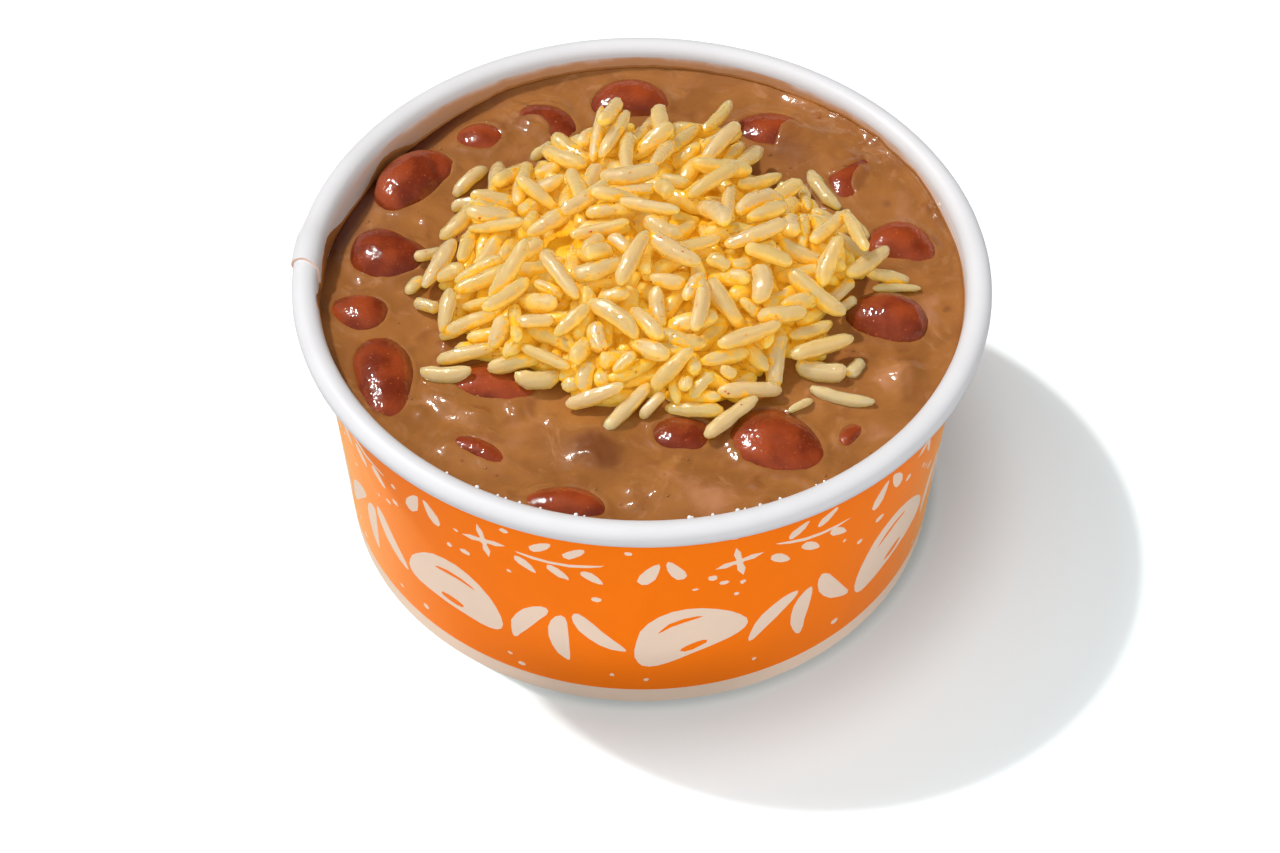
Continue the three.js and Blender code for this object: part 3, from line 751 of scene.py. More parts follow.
def ray_through(px, py):
    """The way from the camera through a place in its frame."""
    u, v = (px - FRAME[0] / 2) / FOCAL_PIXELS, (py - FRAME[1] / 2) / FOCAL_PIXELS
    u, v = math.cos(ROLL) * u + math.sin(ROLL) * v, math.cos(ROLL) * v - math.sin(ROLL) * u
    way = view + np.array([u, 0, 0]) - view_up * v
    return way / np.linalg.norm(way)


def resting_height(point, radius):
    """Height of a grain's axis over a point, where it lies on top of the heap, a bean or the gravy."""
    off = point[:2] - HEAP_MIDDLE
    share = math.hypot(*off) / float(heap_outline(math.atan2(off[1], off[0])))
    dome = HEAP_HEIGHT * max(0.0, 1 - share * share) ** DOME_POWER
    carried = max(LEVEL, float(bean_tops(point[:1], point[1:2])[0])) + REST_SHARE * radius
    return max(carried, LEVEL + dome - radius * 0.7)


def end_on_heap(px, py, radius):
    """The point of the heap's surface that a place in the frame shows."""
    way = ray_through(px, py)
    height = LEVEL + 3
    for _ in range(40):
        point = stand + way * ((height - stand[2]) / way[2])
        height = (height + resting_height(point, radius)) / 2
    return stand + way * ((height - stand[2]) / way[2])


def shown_grains():
    """The topmost grains. One that would come out too long stands up at its far end, and one that would
    cut into a grain below it is drawn towards the camera until it lies on that."""
    starts, ends, radii = np.zeros((0, 3)), np.zeros((0, 3)), np.zeros(0)
    for x0, y0, x1, y1, width in SHOWN_GRAINS:
        radius = width / 2 / PIXELS_PER_MM
        low, high = end_on_heap(x0, y0, radius), end_on_heap(x1, y1, radius)
        if np.linalg.norm(high - low) > LONGEST_SHOWN:
            way = ray_through(x1, y1)
            nearest = (low - stand) @ way
            off = np.linalg.norm(stand + nearest * way - low)
            left_over = math.sqrt(max(0, LONGEST_SHOWN ** 2 - off ** 2))
            high = stand + way * (nearest + math.copysign(left_over, (high - stand) @ way - nearest))
        along = (high - low) / np.linalg.norm(high - low)
        start, end = low + along * radius, high - along * radius
        for _ in range(22):
            if len(radii) == 0:
                break
            count = len(radii)
            _, _, way = closest(np.tile(start, (count, 1)), np.tile(end, (count, 1)), starts, ends)
            if (np.linalg.norm(way, axis=1) >= (radii + radius) * SQUEEZE).all():
                break
            start, end = start - view * 0.1, end - view * 0.1
        starts, ends, radii = np.vstack([starts, start]), np.vstack([ends, end]), np.append(radii, radius)
    return starts, ends, radii


# Where along a topmost grain the way out of the heap is looked along, and how far it is kept clear.
LOOKED_ALONG = (0.05, 0.35, 0.65, 0.95)
CLEAR = (0.9, 7)


def covers(starts, ends, radii, top_starts, top_ends):
    """Which of the first grains lie over one of the second."""
    hit = np.zeros(len(radii), bool)
    for a, b in zip(top_starts, top_ends):
        for share in LOOKED_ALONG:
            point = a + (b - a) * share
            out = np.append((point[:2] - HEAP_MIDDLE) / HEAP_REACH * 0.6, 1.0)
            out = (out - 0.35 * view) / np.linalg.norm(out - 0.35 * view)
            foot, tip = (np.tile(point + out * far, (len(radii), 1)) for far in CLEAR)
            hit |= np.linalg.norm(closest(foot, tip, starts, ends)[2], axis=1) < radii * 0.95
    return hit


def settle(starts, ends, radii, held):
    """Sinks the grains and pushes them apart until they lie on the beans, the gravy and each other. The
    ones that are held stay where they are."""
    half = np.linalg.norm(ends - starts, axis=1) / 2
    reach = half + radii
    for step in range(SETTLE_STEPS):
        before = starts[held].copy(), ends[held].copy()
        sink = SINK_STEP * max(0.0, 1 - step / (SETTLE_STEPS * SINK_SHARE))
        starts[:, 2] -= sink
        ends[:, 2] -= sink
        middles = (starts + ends) / 2
        apart = np.linalg.norm(middles[:, None] - middles[None], axis=2)
        i, j = np.nonzero(np.triu(apart < reach[:, None] + reach[None], 1))
        s, t, way = closest(starts[i], ends[i], starts[j], ends[j])
        distance = np.linalg.norm(way, axis=1)
        wanted = (radii[i] + radii[j]) * SQUEEZE
        hit = distance < wanted
        i, j, s, t, way, distance, wanted = (v[hit] for v in (i, j, s, t, way, distance, wanted))
        push = way * ((wanted - distance) / 2 / np.maximum(distance, 1e-6))[:, None]
        moves = np.zeros((2, len(radii), 3))
        count = np.zeros(len(radii))
        for index, share, sign in ((i, s, 1.0), (j, t, -1.0)):
            weight = (1 - share) ** 2 + share ** 2
            np.add.at(moves[0], index, sign * push * ((1 - share) / weight)[:, None])
            np.add.at(moves[1], index, sign * push * (share / weight)[:, None])
            np.add.at(count, index, 1)
        moves /= (np.maximum(count, 1) ** SHARED_PUSH)[None, :, None]
        moves[:, :, :2] *= SIDE_PUSH
        for points, move in ((starts, moves[0]), (ends, moves[1])):
            points += move
            floor = np.maximum(LEVEL, bean_tops(points[:, 0], points[:, 1])) + radii * REST_SHARE
            points[:, 2] = np.maximum(points[:, 2], floor)
            points[:, :2] -= past_outline(points, -END_INSET)
        middles = (starts + ends) / 2
        middles[:, :2] -= past_outline(middles, -MIDDLE_INSET)
        along = ends - starts
        steepest = STEEPEST * np.hypot(along[:, 0], along[:, 1])
        along[:, 2] = np.clip(along[:, 2], -steepest, steepest)
        along *= (half / np.linalg.norm(along, axis=1))[:, None]
        starts[:] = middles - along
        ends[:] = middles + along
        starts[held], ends[held] = before


top_starts, top_ends, top_radii = shown_grains()
starts, ends, radii, broken = loose_grains()
held = np.append(np.ones(len(top_radii), bool), np.zeros(len(radii), bool))
starts, ends = np.vstack([top_starts, starts]), np.vstack([top_ends, ends])
radii = np.append(top_radii, radii)
top_lengths = np.linalg.norm(top_ends - top_starts, axis=1) + 2 * top_radii
broken = np.append(top_lengths < BROKEN_LENGTH[1], broken)
settle(starts, ends, radii, held)
kept = held | ~covers(starts, ends, radii, top_starts, top_ends)
starts, ends, radii, broken = starts[kept], ends[kept], radii[kept], broken[kept]

# Grain forms of length and width 1, each with its own bend, taper and blunt or snapped end.
GRAIN_BEND = 0.13
GRAIN_TAPER = 0.15
BLUNTNESS = (2.9, 4.4)
FLATNESS = (0.8, 0.96)
GRAIN_SIDES = 8
GRAIN_BANDS = 9
WHOLE_FORMS = 7
BROKEN_FORMS = 2


def mesh_from(name, work):
    """A smooth mesh from a finished work mesh."""
    mesh = bpy.data.meshes.new(name)
    work.to_mesh(mesh)
    work.free()
    mesh.shade_smooth()
    return mesh


def grain_form(name, draws, snapped):
    """A low mesh of one grain, with its length along X."""
    bend = draws.between(-GRAIN_BEND, GRAIN_BEND)
    taper = draws.between(-GRAIN_TAPER, GRAIN_TAPER)
    blunt = draws.between(*BLUNTNESS)
    flat = draws.between(*FLATNESS)
    work = bmesh.new()
    rings = []
    for band in range(1, GRAIN_BANDS):
        reached = -math.cos(math.pi * band / GRAIN_BANDS)
        along = min(reached, snapped)
        fullness = (1 - abs(along) ** blunt) ** 0.5 * (1 + taper * along) * draws.between(0.9, 1.07)
        if reached > snapped:
            fullness *= 0.6
        ring = []
        for side in range(GRAIN_SIDES):
            turn = 2 * math.pi * side / GRAIN_SIDES
            uneven = draws.between(0.93, 1.06)
            y = 0.5 * fullness * uneven * math.cos(turn) + bend * (1 - 2 * along * along)
            z = 0.5 * fullness * uneven * flat * math.sin(turn)
            ring.append(work.verts.new((along / 2, y, z)))
        rings.append(ring)
        if reached > snapped:
            break
    for low, high in zip(rings, rings[1:]):
        for i in range(GRAIN_SIDES):
            work.faces.new((low[i], high[i], high[(i + 1) % GRAIN_SIDES], low[(i + 1) % GRAIN_SIDES]))
    for ring, tip in ((rings[0], -0.5), (rings[-1], min(snapped + 0.01, 1.0) / 2)):
        point = work.verts.new((tip, bend * (1 - 8 * tip * tip), 0))
        for i in range(GRAIN_SIDES):
            work.faces.new((ring[i], ring[(i + 1) % GRAIN_SIDES], point))
    bmesh.ops.recalc_face_normals(work, faces=work.faces)
    return bpy.data.objects.new(name, mesh_from(name, work))


def tree_with(name, inputs):
    """A geometry tree with named inputs: the tree, its input node and its inputs' identifiers."""
    tree = bpy.data.node_groups.new(name, "GeometryNodeTree")
    add = tree.interface.new_socket
    add("Geometry", in_out="INPUT", socket_type="NodeSocketGeometry")
    add("Geometry", in_out="OUTPUT", socket_type="NodeSocketGeometry")
    keys = {
        label: add(label, in_out="INPUT", socket_type="NodeSocket" + kind).identifier
        for label, kind in inputs.items()
    }
    return tree, tree.nodes.new("NodeGroupInput"), keys


def end_tree(tree, placed, material):
    """The end of a tree: what it has placed is made real and gets its material."""
    real = node(tree, "GeometryNodeRealizeInstances", {"Geometry": placed.outputs["Instances"]})
    coated = node(tree, "GeometryNodeSetMaterial", {
        "Geometry": real.outputs["Geometry"], "Material": material,
    })
    node(tree, "NodeGroupOutput", {"Geometry": coated.outputs["Geometry"]})


def attribute(tree, name, kind):
    return node(tree, "GeometryNodeInputNamedAttribute", {"Name": name}, data_type=kind).outputs["Attribute"]


def grow(name, host, tree, keys, values):
    """Runs a tree on a host object and keeps the result as a plain mesh object."""
    modifier = host.modifiers.new(tree.name, "NODES")
    modifier.node_group = tree
    for label, value in values.items():
        modifier[keys[label]] = value
    mesh = as_mesh(host)
    host.modifiers.remove(modifier)
    mesh.name = name
    return put(name, mesh)


def grain_tree(forms, material):
    """Sets a chosen form at each point, turned and sized by the point's own values."""
    tree, given, keys = tree_with("set_grains", {"Length": "Float", "Width": "Float"})
    picked = node(tree, "GeometryNodeCollectionInfo", {
        "Collection": forms, "Separate Children": True, "Reset Children": True,
    })
    long, wide = given.outputs["Length"], given.outputs["Width"]
    size = node(tree, "ShaderNodeCombineXYZ", {"X": long, "Y": wide, "Z": wide}).outputs[0]
    stretch = attribute(tree, "stretch", "FLOAT_VECTOR")
    scale = node(tree, "ShaderNodeVectorMath", {0: size, 1: stretch}, operation="MULTIPLY")
    placed = node(tree, "GeometryNodeInstanceOnPoints", {
        "Points": given.outputs["Geometry"], "Instance": picked.outputs["Instances"],
        "Pick Instance": True, "Instance Index": attribute(tree, "form", "INT"),
        "Rotation": attribute(tree, "turn", "FLOAT_VECTOR"), "Scale": scale.outputs[0],
    })
    end_tree(tree, placed, material)
    return tree, keys


def rice_finish():
    """Soft, slightly clear starch: cream where it is bare, orange-yellow where seasoning has gathered, with
    painted glow and gold.
    """
    made, tree, shader = finish(
        "cooked_grain", paint(232, 196, 128), Roughness=0.4, Specular_IOR_Level=0.2, Coat_Weight=1.0,
        Coat_Roughness=0.1, Coat_IOR=1.75, Subsurface_Weight=1.0, Subsurface_Radius=(1.0, 0.7, 0.3),
        Subsurface_Scale=5.0 * MM, Emission_Strength=1.0,
    )
    depth = value_on(tree, "depth")
    pale = mix(tree, value_on(tree, "tone"), paint(179, 154, 99), paint(184, 161, 126))
    patch = between(tree, grain_of(tree, 0.5, 4.0, 0.6, 0.5), 0.32, 0.68, -0.1, 0.1)
    # Painted glow: emission all over, stronger with depth, stands in for light passing through the grains.
    glow = mix(tree, between(tree, depth, 0.2, 0.9), (0.095, 0.072, 0.026, 1), (0.14, 0.094, 0.005, 1))
    tree.links.new(glow, shader.inputs["Emission Color"])
    # Painted gold: the colour turns gold with depth, in the gaps and on the sides away from the lamp.
    painted_gold = mix(tree, between(tree, maths(tree, "ADD", depth, patch), 0.5, 1.1), pale, paint(228, 184, 88))
    clump = between(tree, grain_of(tree, 0.9, 4.0, 0.7, 0.3), 0.3, 0.7, -0.5, 0.5)
    dusted = between(tree, maths(tree, "ADD", value_on(tree, "season"), clump), 0.58, 0.72, 0.0, 0.9)
    tree.links.new(mix(tree, dusted, painted_gold, paint(234, 166, 8)), shader.inputs["Base Color"])
    tree.links.new(between(tree, dusted, 0.0, 1.0, 1.0, 0.2), shader.inputs["Subsurface Weight"])
    skin = relief(tree, shader, grain_of(tree, 0.85, 2.0, 0.5), 0.1)
    relief(tree, shader, grain_of(tree, 1.5, 1.0, 0.5), 0.23, skin, ["Coat Normal"])
    return made


rice_skin = rice_finish()
form_box = bpy.data.collections.new("grain_forms")
form_draws = Draws(73)
for index in range(WHOLE_FORMS + BROKEN_FORMS):
    snapped = 1.0 if index < WHOLE_FORMS else form_draws.between(0.55, 0.8)
    form_box.objects.link(grain_form("grain_form_%d" % index, form_draws, snapped))
turns, stretches, forms = [], [], []
for start, end, radius, short in zip(starts, ends, radii, broken):
    spin = Matrix.Rotation(form_draws.between(0, 2 * math.pi), 3, "X")
    ahead = Vector(end - start).normalized()
    turns.append((ahead.to_track_quat("X", "Z").to_matrix() @ spin).to_euler())
    length, width = np.linalg.norm(end - start) + 2 * radius, radius / GRAIN_RADIUS[1]
    stretches.append((length / GRAIN_LENGTH[1], width, width))
    pick = form_draws.between(0, 0.999)
    forms.append(WHOLE_FORMS + int(pick * BROKEN_FORMS) if short else int(pick * WHOLE_FORMS))
seeds = bpy.data.meshes.new("grain_points")
seeds.from_pydata(((starts + ends) / 2 * MM).tolist(), [], [])
mark(seeds, "turn", turns, "FLOAT_VECTOR")
mark(seeds, "stretch", stretches, "FLOAT_VECTOR")
mark(seeds, "form", forms, "INT")
mark(seeds, "grain", np.arange(len(radii)), "INT")
host = put("grain_points", seeds)
tree, keys = grain_tree(form_box, rice_skin)
WIDTH_SHARE = 1.06
rice = grow("rice_grains", host, tree, keys, {
    "Length": GRAIN_LENGTH[1] * MM, "Width": 2 * GRAIN_RADIUS[1] * WIDTH_SHARE * MM,
})
bpy.data.objects.remove(host)

# Seasoning gathers where a grain touches its neighbours and deep in the heap, and grains at the heap's
# foot are washed paler by the gravy. The depth value is painted light: gold and glow in the gaps, on the
# grains underneath and on the sides turned from the lamp.
OWN = 1e3
BLOCK = 2000
RAYS = 9
RAY_REACH = 6.0
RAY_LIFT = 0.06
GOLDEN_TURN = 2.39996
TOUCHING = 0.45
lines = ends - starts


def gaps_to_grains(points, near=slice(None)):
    """From each point to each chosen grain's skin, a row a point."""
    off = points[:, None] - starts[None, near]
    along = lines[None, near]
    share = np.clip((off * along).sum(2) / (along * along).sum(2), 0, 1)
    return np.linalg.norm(off - share[..., None] * along, axis=2) - radii[None, near]


mesh = rice.data
rice_at = points_of(mesh)
rice_normal = np.array([v.normal for v in mesh.vertices])
owner = np.array([d.value for d in mesh.attributes["grain"].data])
gaps = np.empty(len(rice_at))
for low in range(0, len(rice_at), BLOCK):
    block = slice(low, low + BLOCK)
    gap = gaps_to_grains(rice_at[block])
    gap[np.arange(len(gap)), owner[block]] = OWN
    gaps[block] = gap.min(1)
rice_surface = BVHTree.FromPolygons(rice_at.tolist(), [list(face.vertices) for face in mesh.polygons])
spread = []
for ray in range(RAYS):
    rise = (ray + 0.5) / RAYS
    level = math.sqrt(1 - rise ** 2)
    spread.append(Vector((math.cos(ray * GOLDEN_TURN) * level, math.sin(ray * GOLDEN_TURN) * level, rise)))
hidden = np.zeros(len(rice_at))
for i, (point, normal) in enumerate(zip(rice_at, rice_normal)):
    origin = Vector(point + normal * RAY_LIFT)
    seen = [ray for ray in spread if ray.dot(Vector(normal)) > 0.05]
    blocked = sum(rice_surface.ray_cast(origin, ray, RAY_REACH)[0] is not None for ray in seen)
    hidden[i] = (blocked + RAYS - len(seen)) / RAYS
off = rice_at[:, :2] - HEAP_MIDDLE
share = np.hypot(off[:, 0], off[:, 1]) / heap_outline(np.arctan2(off[:, 1], off[:, 0]))
foot = np.clip((share - 0.8) / 0.25, 0, 1) * np.clip((46 - rice_at[:, 2]) / 3, 0, 1)
touch = np.exp(-np.maximum(gaps, 0) / TOUCHING)
# Share of a point that faces away from the lamp, used for painted gold and glow on the grains' shaded sides.
away_from_lamp = 1 - np.clip(rice_normal[:, 2] - 0.3 * rice_normal[:, 0], 0, 1)
clumps = np.array([noise.noise(Vector(p * 0.22)) + 0.6 * noise.noise(Vector(p * 0.7)) for p in rice_at])
grain_tone = np.array([form_draws.between(0, 1) for _ in radii])
underneath = ~held[kept][owner]
mark(mesh, "season", np.clip(0.75 * touch + 0.35 * hidden - 0.15 * foot, 0, 1))
# Painted light: depth drives the painted gold and glow of the grains, in place of light passing through
# them.
mark(mesh, "depth", np.clip(hidden - 0.4 * foot + 0.15 * touch + 0.15 * underneath + 0.4 * away_from_lamp, 0, 1))
mark(mesh, "tone", np.clip(grain_tone[owner] * 0.8 + 0.4 * foot, 0, 1))
dust = np.clip(clumps * 2.2 + 0.25, 0.03, 1) ** 1.5
mark(mesh, "dust", dust * (0.06 + 0.94 * touch ** 2) * (1 - 0.7 * foot))
for spare in ("turn", "stretch", "form"):
    if spare in mesh.attributes:
        mesh.attributes.remove(mesh.attributes[spare])
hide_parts("rice_heap")
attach(rice, "root")

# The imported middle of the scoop, a lumpy mass that shows only as gold at the bottom of the gaps.
CORE_INSET = 5.2
CORE_HEIGHT = 7.3
CORE_POWER = 2.8
CORE_SINK = 1.3
CORE_LUMPS = 2.2
CORE_FOOT = 1.2
CORE_STEPS = 120
CORE_RINGS = 26
core_points = []
for k in range(CORE_RINGS + 1):
    share = k / CORE_RINGS
    top = LEVEL - CORE_SINK + CORE_HEIGHT * (1 - share ** CORE_POWER)
    for i in range(CORE_STEPS):
        angle = 2 * math.pi * i / CORE_STEPS
        reach = max(share, 0.002) * (float(heap_outline(angle)) - CORE_INSET)
        x, y = HEAP_MIDDLE + reach * np.array([math.cos(angle), math.sin(angle)])
        lump = abs(noise.noise(Vector((x * 0.28, y * 0.28, 3)))) * CORE_LUMPS * (1 - share ** 4)
        core_points.append((x, y, top + lump))
core_points += [(x, y, LEVEL - CORE_FOOT) for x, y, z in core_points[-CORE_STEPS:]]
# Painted light: the core is coloured bright gold and given a glow, standing in for light deep in the heap.
core_skin, tree, shader = finish(
    "packed_rice", paint(240, 172, 30), Roughness=0.5, Specular_IOR_Level=0.2,
    Emission_Color=(0.1, 0.06, 0.002, 1), Emission_Strength=1.0,
)
streak = between(tree, grain_of(tree, 0.45, 4.0, 0.6), 0.3, 0.7)
tree.links.new(mix(tree, streak, paint(220, 142, 8), paint(240, 178, 36)), shader.inputs["Base Color"])
relief(tree, shader, grain_of(tree, 0.5, 4.0, 0.6), 0.5)
rice_core = build("rice_core", core_points, ring_faces(CORE_RINGS + 2, CORE_STEPS), [core_skin])
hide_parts("rice_heap")
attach(rice_core, "root")

# ------------------------------------------------------------------------------ gravy
# Thick bean gravy, starchy and lumpy with beans that have burst. It fills the bowl to just under the
# rim, climbs a little on whatever stands in it, and has left a film on the wall where it has sunk.
MENISCUS_RISE = 0.75
MENISCUS_WIDTH = 1.3
DIP_DEG = 150
DIP_WIDTH_DEG = 28
DIP_DEPTH = 2.6
DIP_REACH = 4.5
# Width of the painted shadow of the rim on the gravy along the wall in the dip.
RIM_SHADOW_WIDTH = 2.2
LUMPS = [
    (25.8, 28.6, 5.5, 1.5), (36.2, 19.6, 4.5, 1.3), (-16.8, 30.6, 5.0, 0.9), (4.3, -36.8, 4.6, 1.2),
    (-6.5, -29.3, 4.6, 1.5), (36.2, -16.2, 3.0, 1.5), (17.0, -39.5, 4.5, 0.7),
]
# Lumps with a broken, curdled skin: middle and radius.
CURDS = [(3.9, -36.0, 3.4), (34.6, -17.4, 3.2), (31.6, -27.0, 2.2), (-6.0, -31.5, 2.6)]
# Stains, cloudy patches and painted shadows: middle, radius, and how pale, or below zero how dark. The dark
# ones are partly painted shade round the beans, the lumps and the rice's front edge.
STAINS_AND_SHADOWS = [
    (-6.5, -30.4, 3.4, -0.9), (-4.0, -32.6, 2.2, -0.6), (21.8, 28.2, 4.2, -0.6), (9.4, -39.2, 3.2, 0.75),
    (4.0, -35.8, 2.6, 0.35), (32.4, 20.0, 3.0, -0.35), (35.4, 16.5, 1.0, -0.8), (34.6, -17.0, 3.0, 0.5),
    (31.5, -27.0, 2.2, 0.5), (37.1, 17.6, 2.4, 0.5), (40.4, -2.4, 2.4, 0.45), (-30.3, -18.5, 2.4, -0.35),
    (40.0, -5.6, 2.2, 0.6), (42.4, -3.9, 1.1, -0.75), (37.4, 13.6, 2.4, 0.55), (38.9, 5.0, 1.6, -0.5),
    (36.4, -20.6, 1.4, -0.5), (35.9, -11.5, 1.5, -0.55), (-18.0, -29.0, 6.0, 0.3), (-4.0, -27.0, 3.0, 0.3),
]
# Small ridges that catch the light: middle, heading in degrees, length, width and height.
RIDGES = [
    (-26.2, -22.4, -38, 4.6, 2.2, 1.35), (-21.9, -24.8, -20, 1.8, 1.5, 0.95),
    (-16.9, -23.5, -60, 1.2, 1.1, 0.6), (-12.3, -25.3, -40, 1.0, 0.9, 0.5),
    (-20.3, -27.9, -20, 1.4, 1.0, 0.62), (-26.2, -30.7, -60, 1.2, 1.0, 0.48),
    (-8.4, -36.0, -30, 1.3, 1.1, 0.58), (-1.2, -37.8, -50, 1.3, 1.2, 0.68),
    (2.2, -38.6, -30, 1.0, 1.0, 0.52), (-0.6, -40.2, 0, 1.4, 0.9, 0.46),
    (4.2, -28.4, -50, 0.9, 0.8, 0.42), (12.8, -29.2, -70, 1.0, 0.9, 0.46),
    (13.3, -31.0, -50, 0.8, 0.8, 0.42), (5.0, -33.6, 70, 2.2, 0.9, 0.46),
    (24.9, -22.2, -50, 1.0, 0.8, 0.42), (-37.2, -19.4, -45, 1.2, 0.7, 0.38),
    (40.6, 15.4, 70, 2.0, 0.7, 0.36), (34.4, 29.4, -45, 3.0, 0.7, 0.36),
    (24.4, 37.4, -30, 3.0, 0.7, 0.36), (12.4, 40.9, -10, 3.0, 0.7, 0.34),
    (-31.2, 13.0, -30, 1.4, 0.8, 0.42), (-27.8, 23.8, -40, 1.4, 0.8, 0.42),
    (41.0, -7.6, -70, 2.2, 1.0, 0.46), (22.6, -36.6, -40, 2.2, 1.0, 0.5),
    (-29.8, -24.3, -50, 1.2, 1.0, 0.6), (-40.0, 1.4, -60, 1.2, 0.7, 0.38),
    (36.8, -15.4, -50, 1.0, 0.9, 0.5), (31.0, -12.4, -50, 1.2, 0.8, 0.42),
    (-6.2, -32.6, -45, 1.6, 0.9, 0.46), (-16.2, 31.6, -38, 2.4, 1.0, 0.6),
]
# Where the film stands highest on the wall: direction, height over the gravy, half width in degrees.
FILM_TONGUES = [(146, 2.6, 5), (173, 2.8, 7), (187, 2.4, 4)]
# Skins of gravy that lie over part of a bean: centre and radius.
FILMS = [(25.8, 28.6, 6.8), (35.0, 20.4, 5.0), (-17.0, 30.6, 3.6)]
FILM_THICKNESS = 0.25
GRAVY_STEPS = 560
GRAVY_FLOOR = DISC_HIGH + 0.02
WALL_FILM_ROWS = 7
SIDE_LEVELS = (37.0, 30.0, 20.0, 10.0, GRAVY_FLOOR)
# The height of the small rise round a bean and round a grain, and how wide it is.
BEAN_RISE, BEAN_RISE_WIDTH = 0.55, 0.8
GRAIN_RISE, GRAIN_RISE_WIDTH = 0.3, 0.5


def spot(x, y, middle_x, middle_y, reach):
    """1 in the middle of a round spot, fading to nothing round it."""
    return np.exp(-(((x - middle_x) ** 2 + (y - middle_y) ** 2) / reach ** 2))


def dip_at(x, y):
    """How much a place shares in the dip along the wall, going by its direction."""
    return swell(np.degrees(np.arctan2(y, x)), DIP_DEG, DIP_WIDTH_DEG)


def gravy_level(x, y):
    """Height of the smooth surface, before the small unevenness."""
    inside = np.maximum(0, wall_outer(LEVEL) - BOARD - 0.3 - np.hypot(x, y))
    climb = MENISCUS_RISE * np.exp(-inside / MENISCUS_WIDTH)
    height = LEVEL + climb - DIP_DEPTH * dip_at(x, y) * np.exp(-inside / DIP_REACH)
    for middle_x, middle_y, reach, rise in LUMPS:
        height = height + rise * spot(x, y, middle_x, middle_y, reach)
    for middle_x, middle_y, heading, long, wide, rise in RIDGES:
        along, side = turned_by(heading, x - middle_x, y - middle_y)
        height = height + rise * np.exp(-((along / long) ** 2) - (side / wide) ** 2)
    return height


def noise_at(x, y, scale, seed):
    return np.array([noise.noise(Vector((a * scale, b * scale, seed))) for a, b in zip(x, y)])


turns = np.linspace(0, 360, GRAVY_STEPS, endpoint=False)
inner_lap = LAP_RISE_INSIDE * lap_share((SEAM_DEG + SEAM_LEAN_DEG - turns) % 360)
rim_line = wall_outer(LEVEL) - BOARD
rings = np.concatenate([[0.05], np.arange(3, 24, 3), np.arange(24, rim_line - 0.2, 0.36), [rim_line + 0.06]])
cos, sin = np.cos(np.radians(turns)), np.sin(np.radians(turns))
x = (rings[:, None] * cos[None]).ravel()
y = (rings[:, None] * sin[None]).ravel()
z = gravy_level(x, y)
bare = np.repeat(np.clip((rings - 22) / 4, 0, 1), GRAVY_STEPS)
z += bare * (0.30 * noise_at(x, y, 0.13, 1.7) + 0.12 * noise_at(x, y, 0.42, 5.2))
mushy = np.clip(noise_at(x, y, 0.09, 9.1) * 2.2 + 0.25, 0, 1)
pulp = np.maximum(0, noise_at(x, y, 0.5, 2.2) - 0.1)
z += bare * mushy * (0.55 * pulp + 0.1 * noise_at(x, y, 1.1, 7.7))
z += 0.32 * sum(spot(x, y, *curd) for curd in CURDS) * noise_at(x, y, 0.8, 6.1)
# Below zero these are partly painted shade round beans, lumps and the rice.
stain_and_shadow = sum(shade * spot(x, y, *patch) for *patch, shade in STAINS_AND_SHADOWS)
film = np.zeros(len(x))
for i in np.nonzero(bare > 0)[0]:
    place, _, _, distance = bean_surface.find_nearest(Vector((x[i], y[i], z[i])), 6.0)
    if place is not None:
        z[i] += BEAN_RISE * math.exp(-distance / BEAN_RISE_WIDTH)
low_grains = np.nonzero(np.minimum(starts[:, 2], ends[:, 2]) - radii < LEVEL + 1.2)[0]
for low in range(0, len(x), BLOCK):
    block = slice(low, low + BLOCK)
    gap = gaps_to_grains(np.stack([x[block], y[block], z[block]], 1), low_grains).min(1)
    z[block] += GRAIN_RISE * np.exp(-np.abs(gap) / GRAIN_RISE_WIDTH)
for film_x, film_y, reach in FILMS:
    distance = np.hypot(x - film_x, y - film_y) + 0.5 * noise_at(x, y, 0.5, 4.4)
    cover = np.clip((reach - distance) / 0.8 + 0.5, 0, 1)
    for i in np.nonzero(cover > 0)[0]:
        top = bean_surface.ray_cast(Vector((x[i], y[i], 60)), Vector((0, 0, -1)))[0]
        if top is not None and top.z + FILM_THICKNESS > z[i]:
            film[i] = max(film[i], cover[i])
            z[i] += (top.z + FILM_THICKNESS - z[i]) * cover[i] - 0.35 * (1 - cover[i])

# Painted shadow of the rim: a dark band on the gravy next to the wall, in the dip on the left.
crease = np.clip(1.8 * dip_at(x, y) * np.exp(-((rim_line - np.hypot(x, y)) / RIM_SHADOW_WIDTH) ** 2), 0, 1)

wall_level = z[-GRAVY_STEPS:]
ragged = noise_at(cos, sin, 5, 0.4) + 0.5 * noise_at(cos, sin, 17, 2.4)
film_top = wall_level + 0.25 + 0.2 * (ragged + 1)
for direction, height, width in FILM_TONGUES:
    film_top += (height + 0.5 * ragged) * swell(turns, direction, width)
gravy_points = [np.stack([x, y, z], 1)]
thin = [np.zeros(len(x))]
for row in range(1, WALL_FILM_ROWS + 1):
    share = row / WALL_FILM_ROWS
    height = wall_level + (film_top - wall_level) * share
    cling = 0.16 * (1 - share ** 3) if row < WALL_FILM_ROWS else -0.06
    radius = wall_outer(height) - BOARD - inner_lap - cling
    gravy_points.append(np.stack([radius * cos, radius * sin, height], 1))
    thin.append(np.full(GRAVY_STEPS, min(1.0, share * 1.6)))
for height in SIDE_LEVELS:
    radius = wall_outer(height) - BOARD + 0.06
    gravy_points.append(np.stack([radius * cos, radius * sin, np.full(GRAVY_STEPS, height)], 1))
    thin.append(np.ones(GRAVY_STEPS))
rows = len(rings) + WALL_FILM_ROWS + len(SIDE_LEVELS)
under = np.zeros((rows - len(rings)) * GRAVY_STEPS)


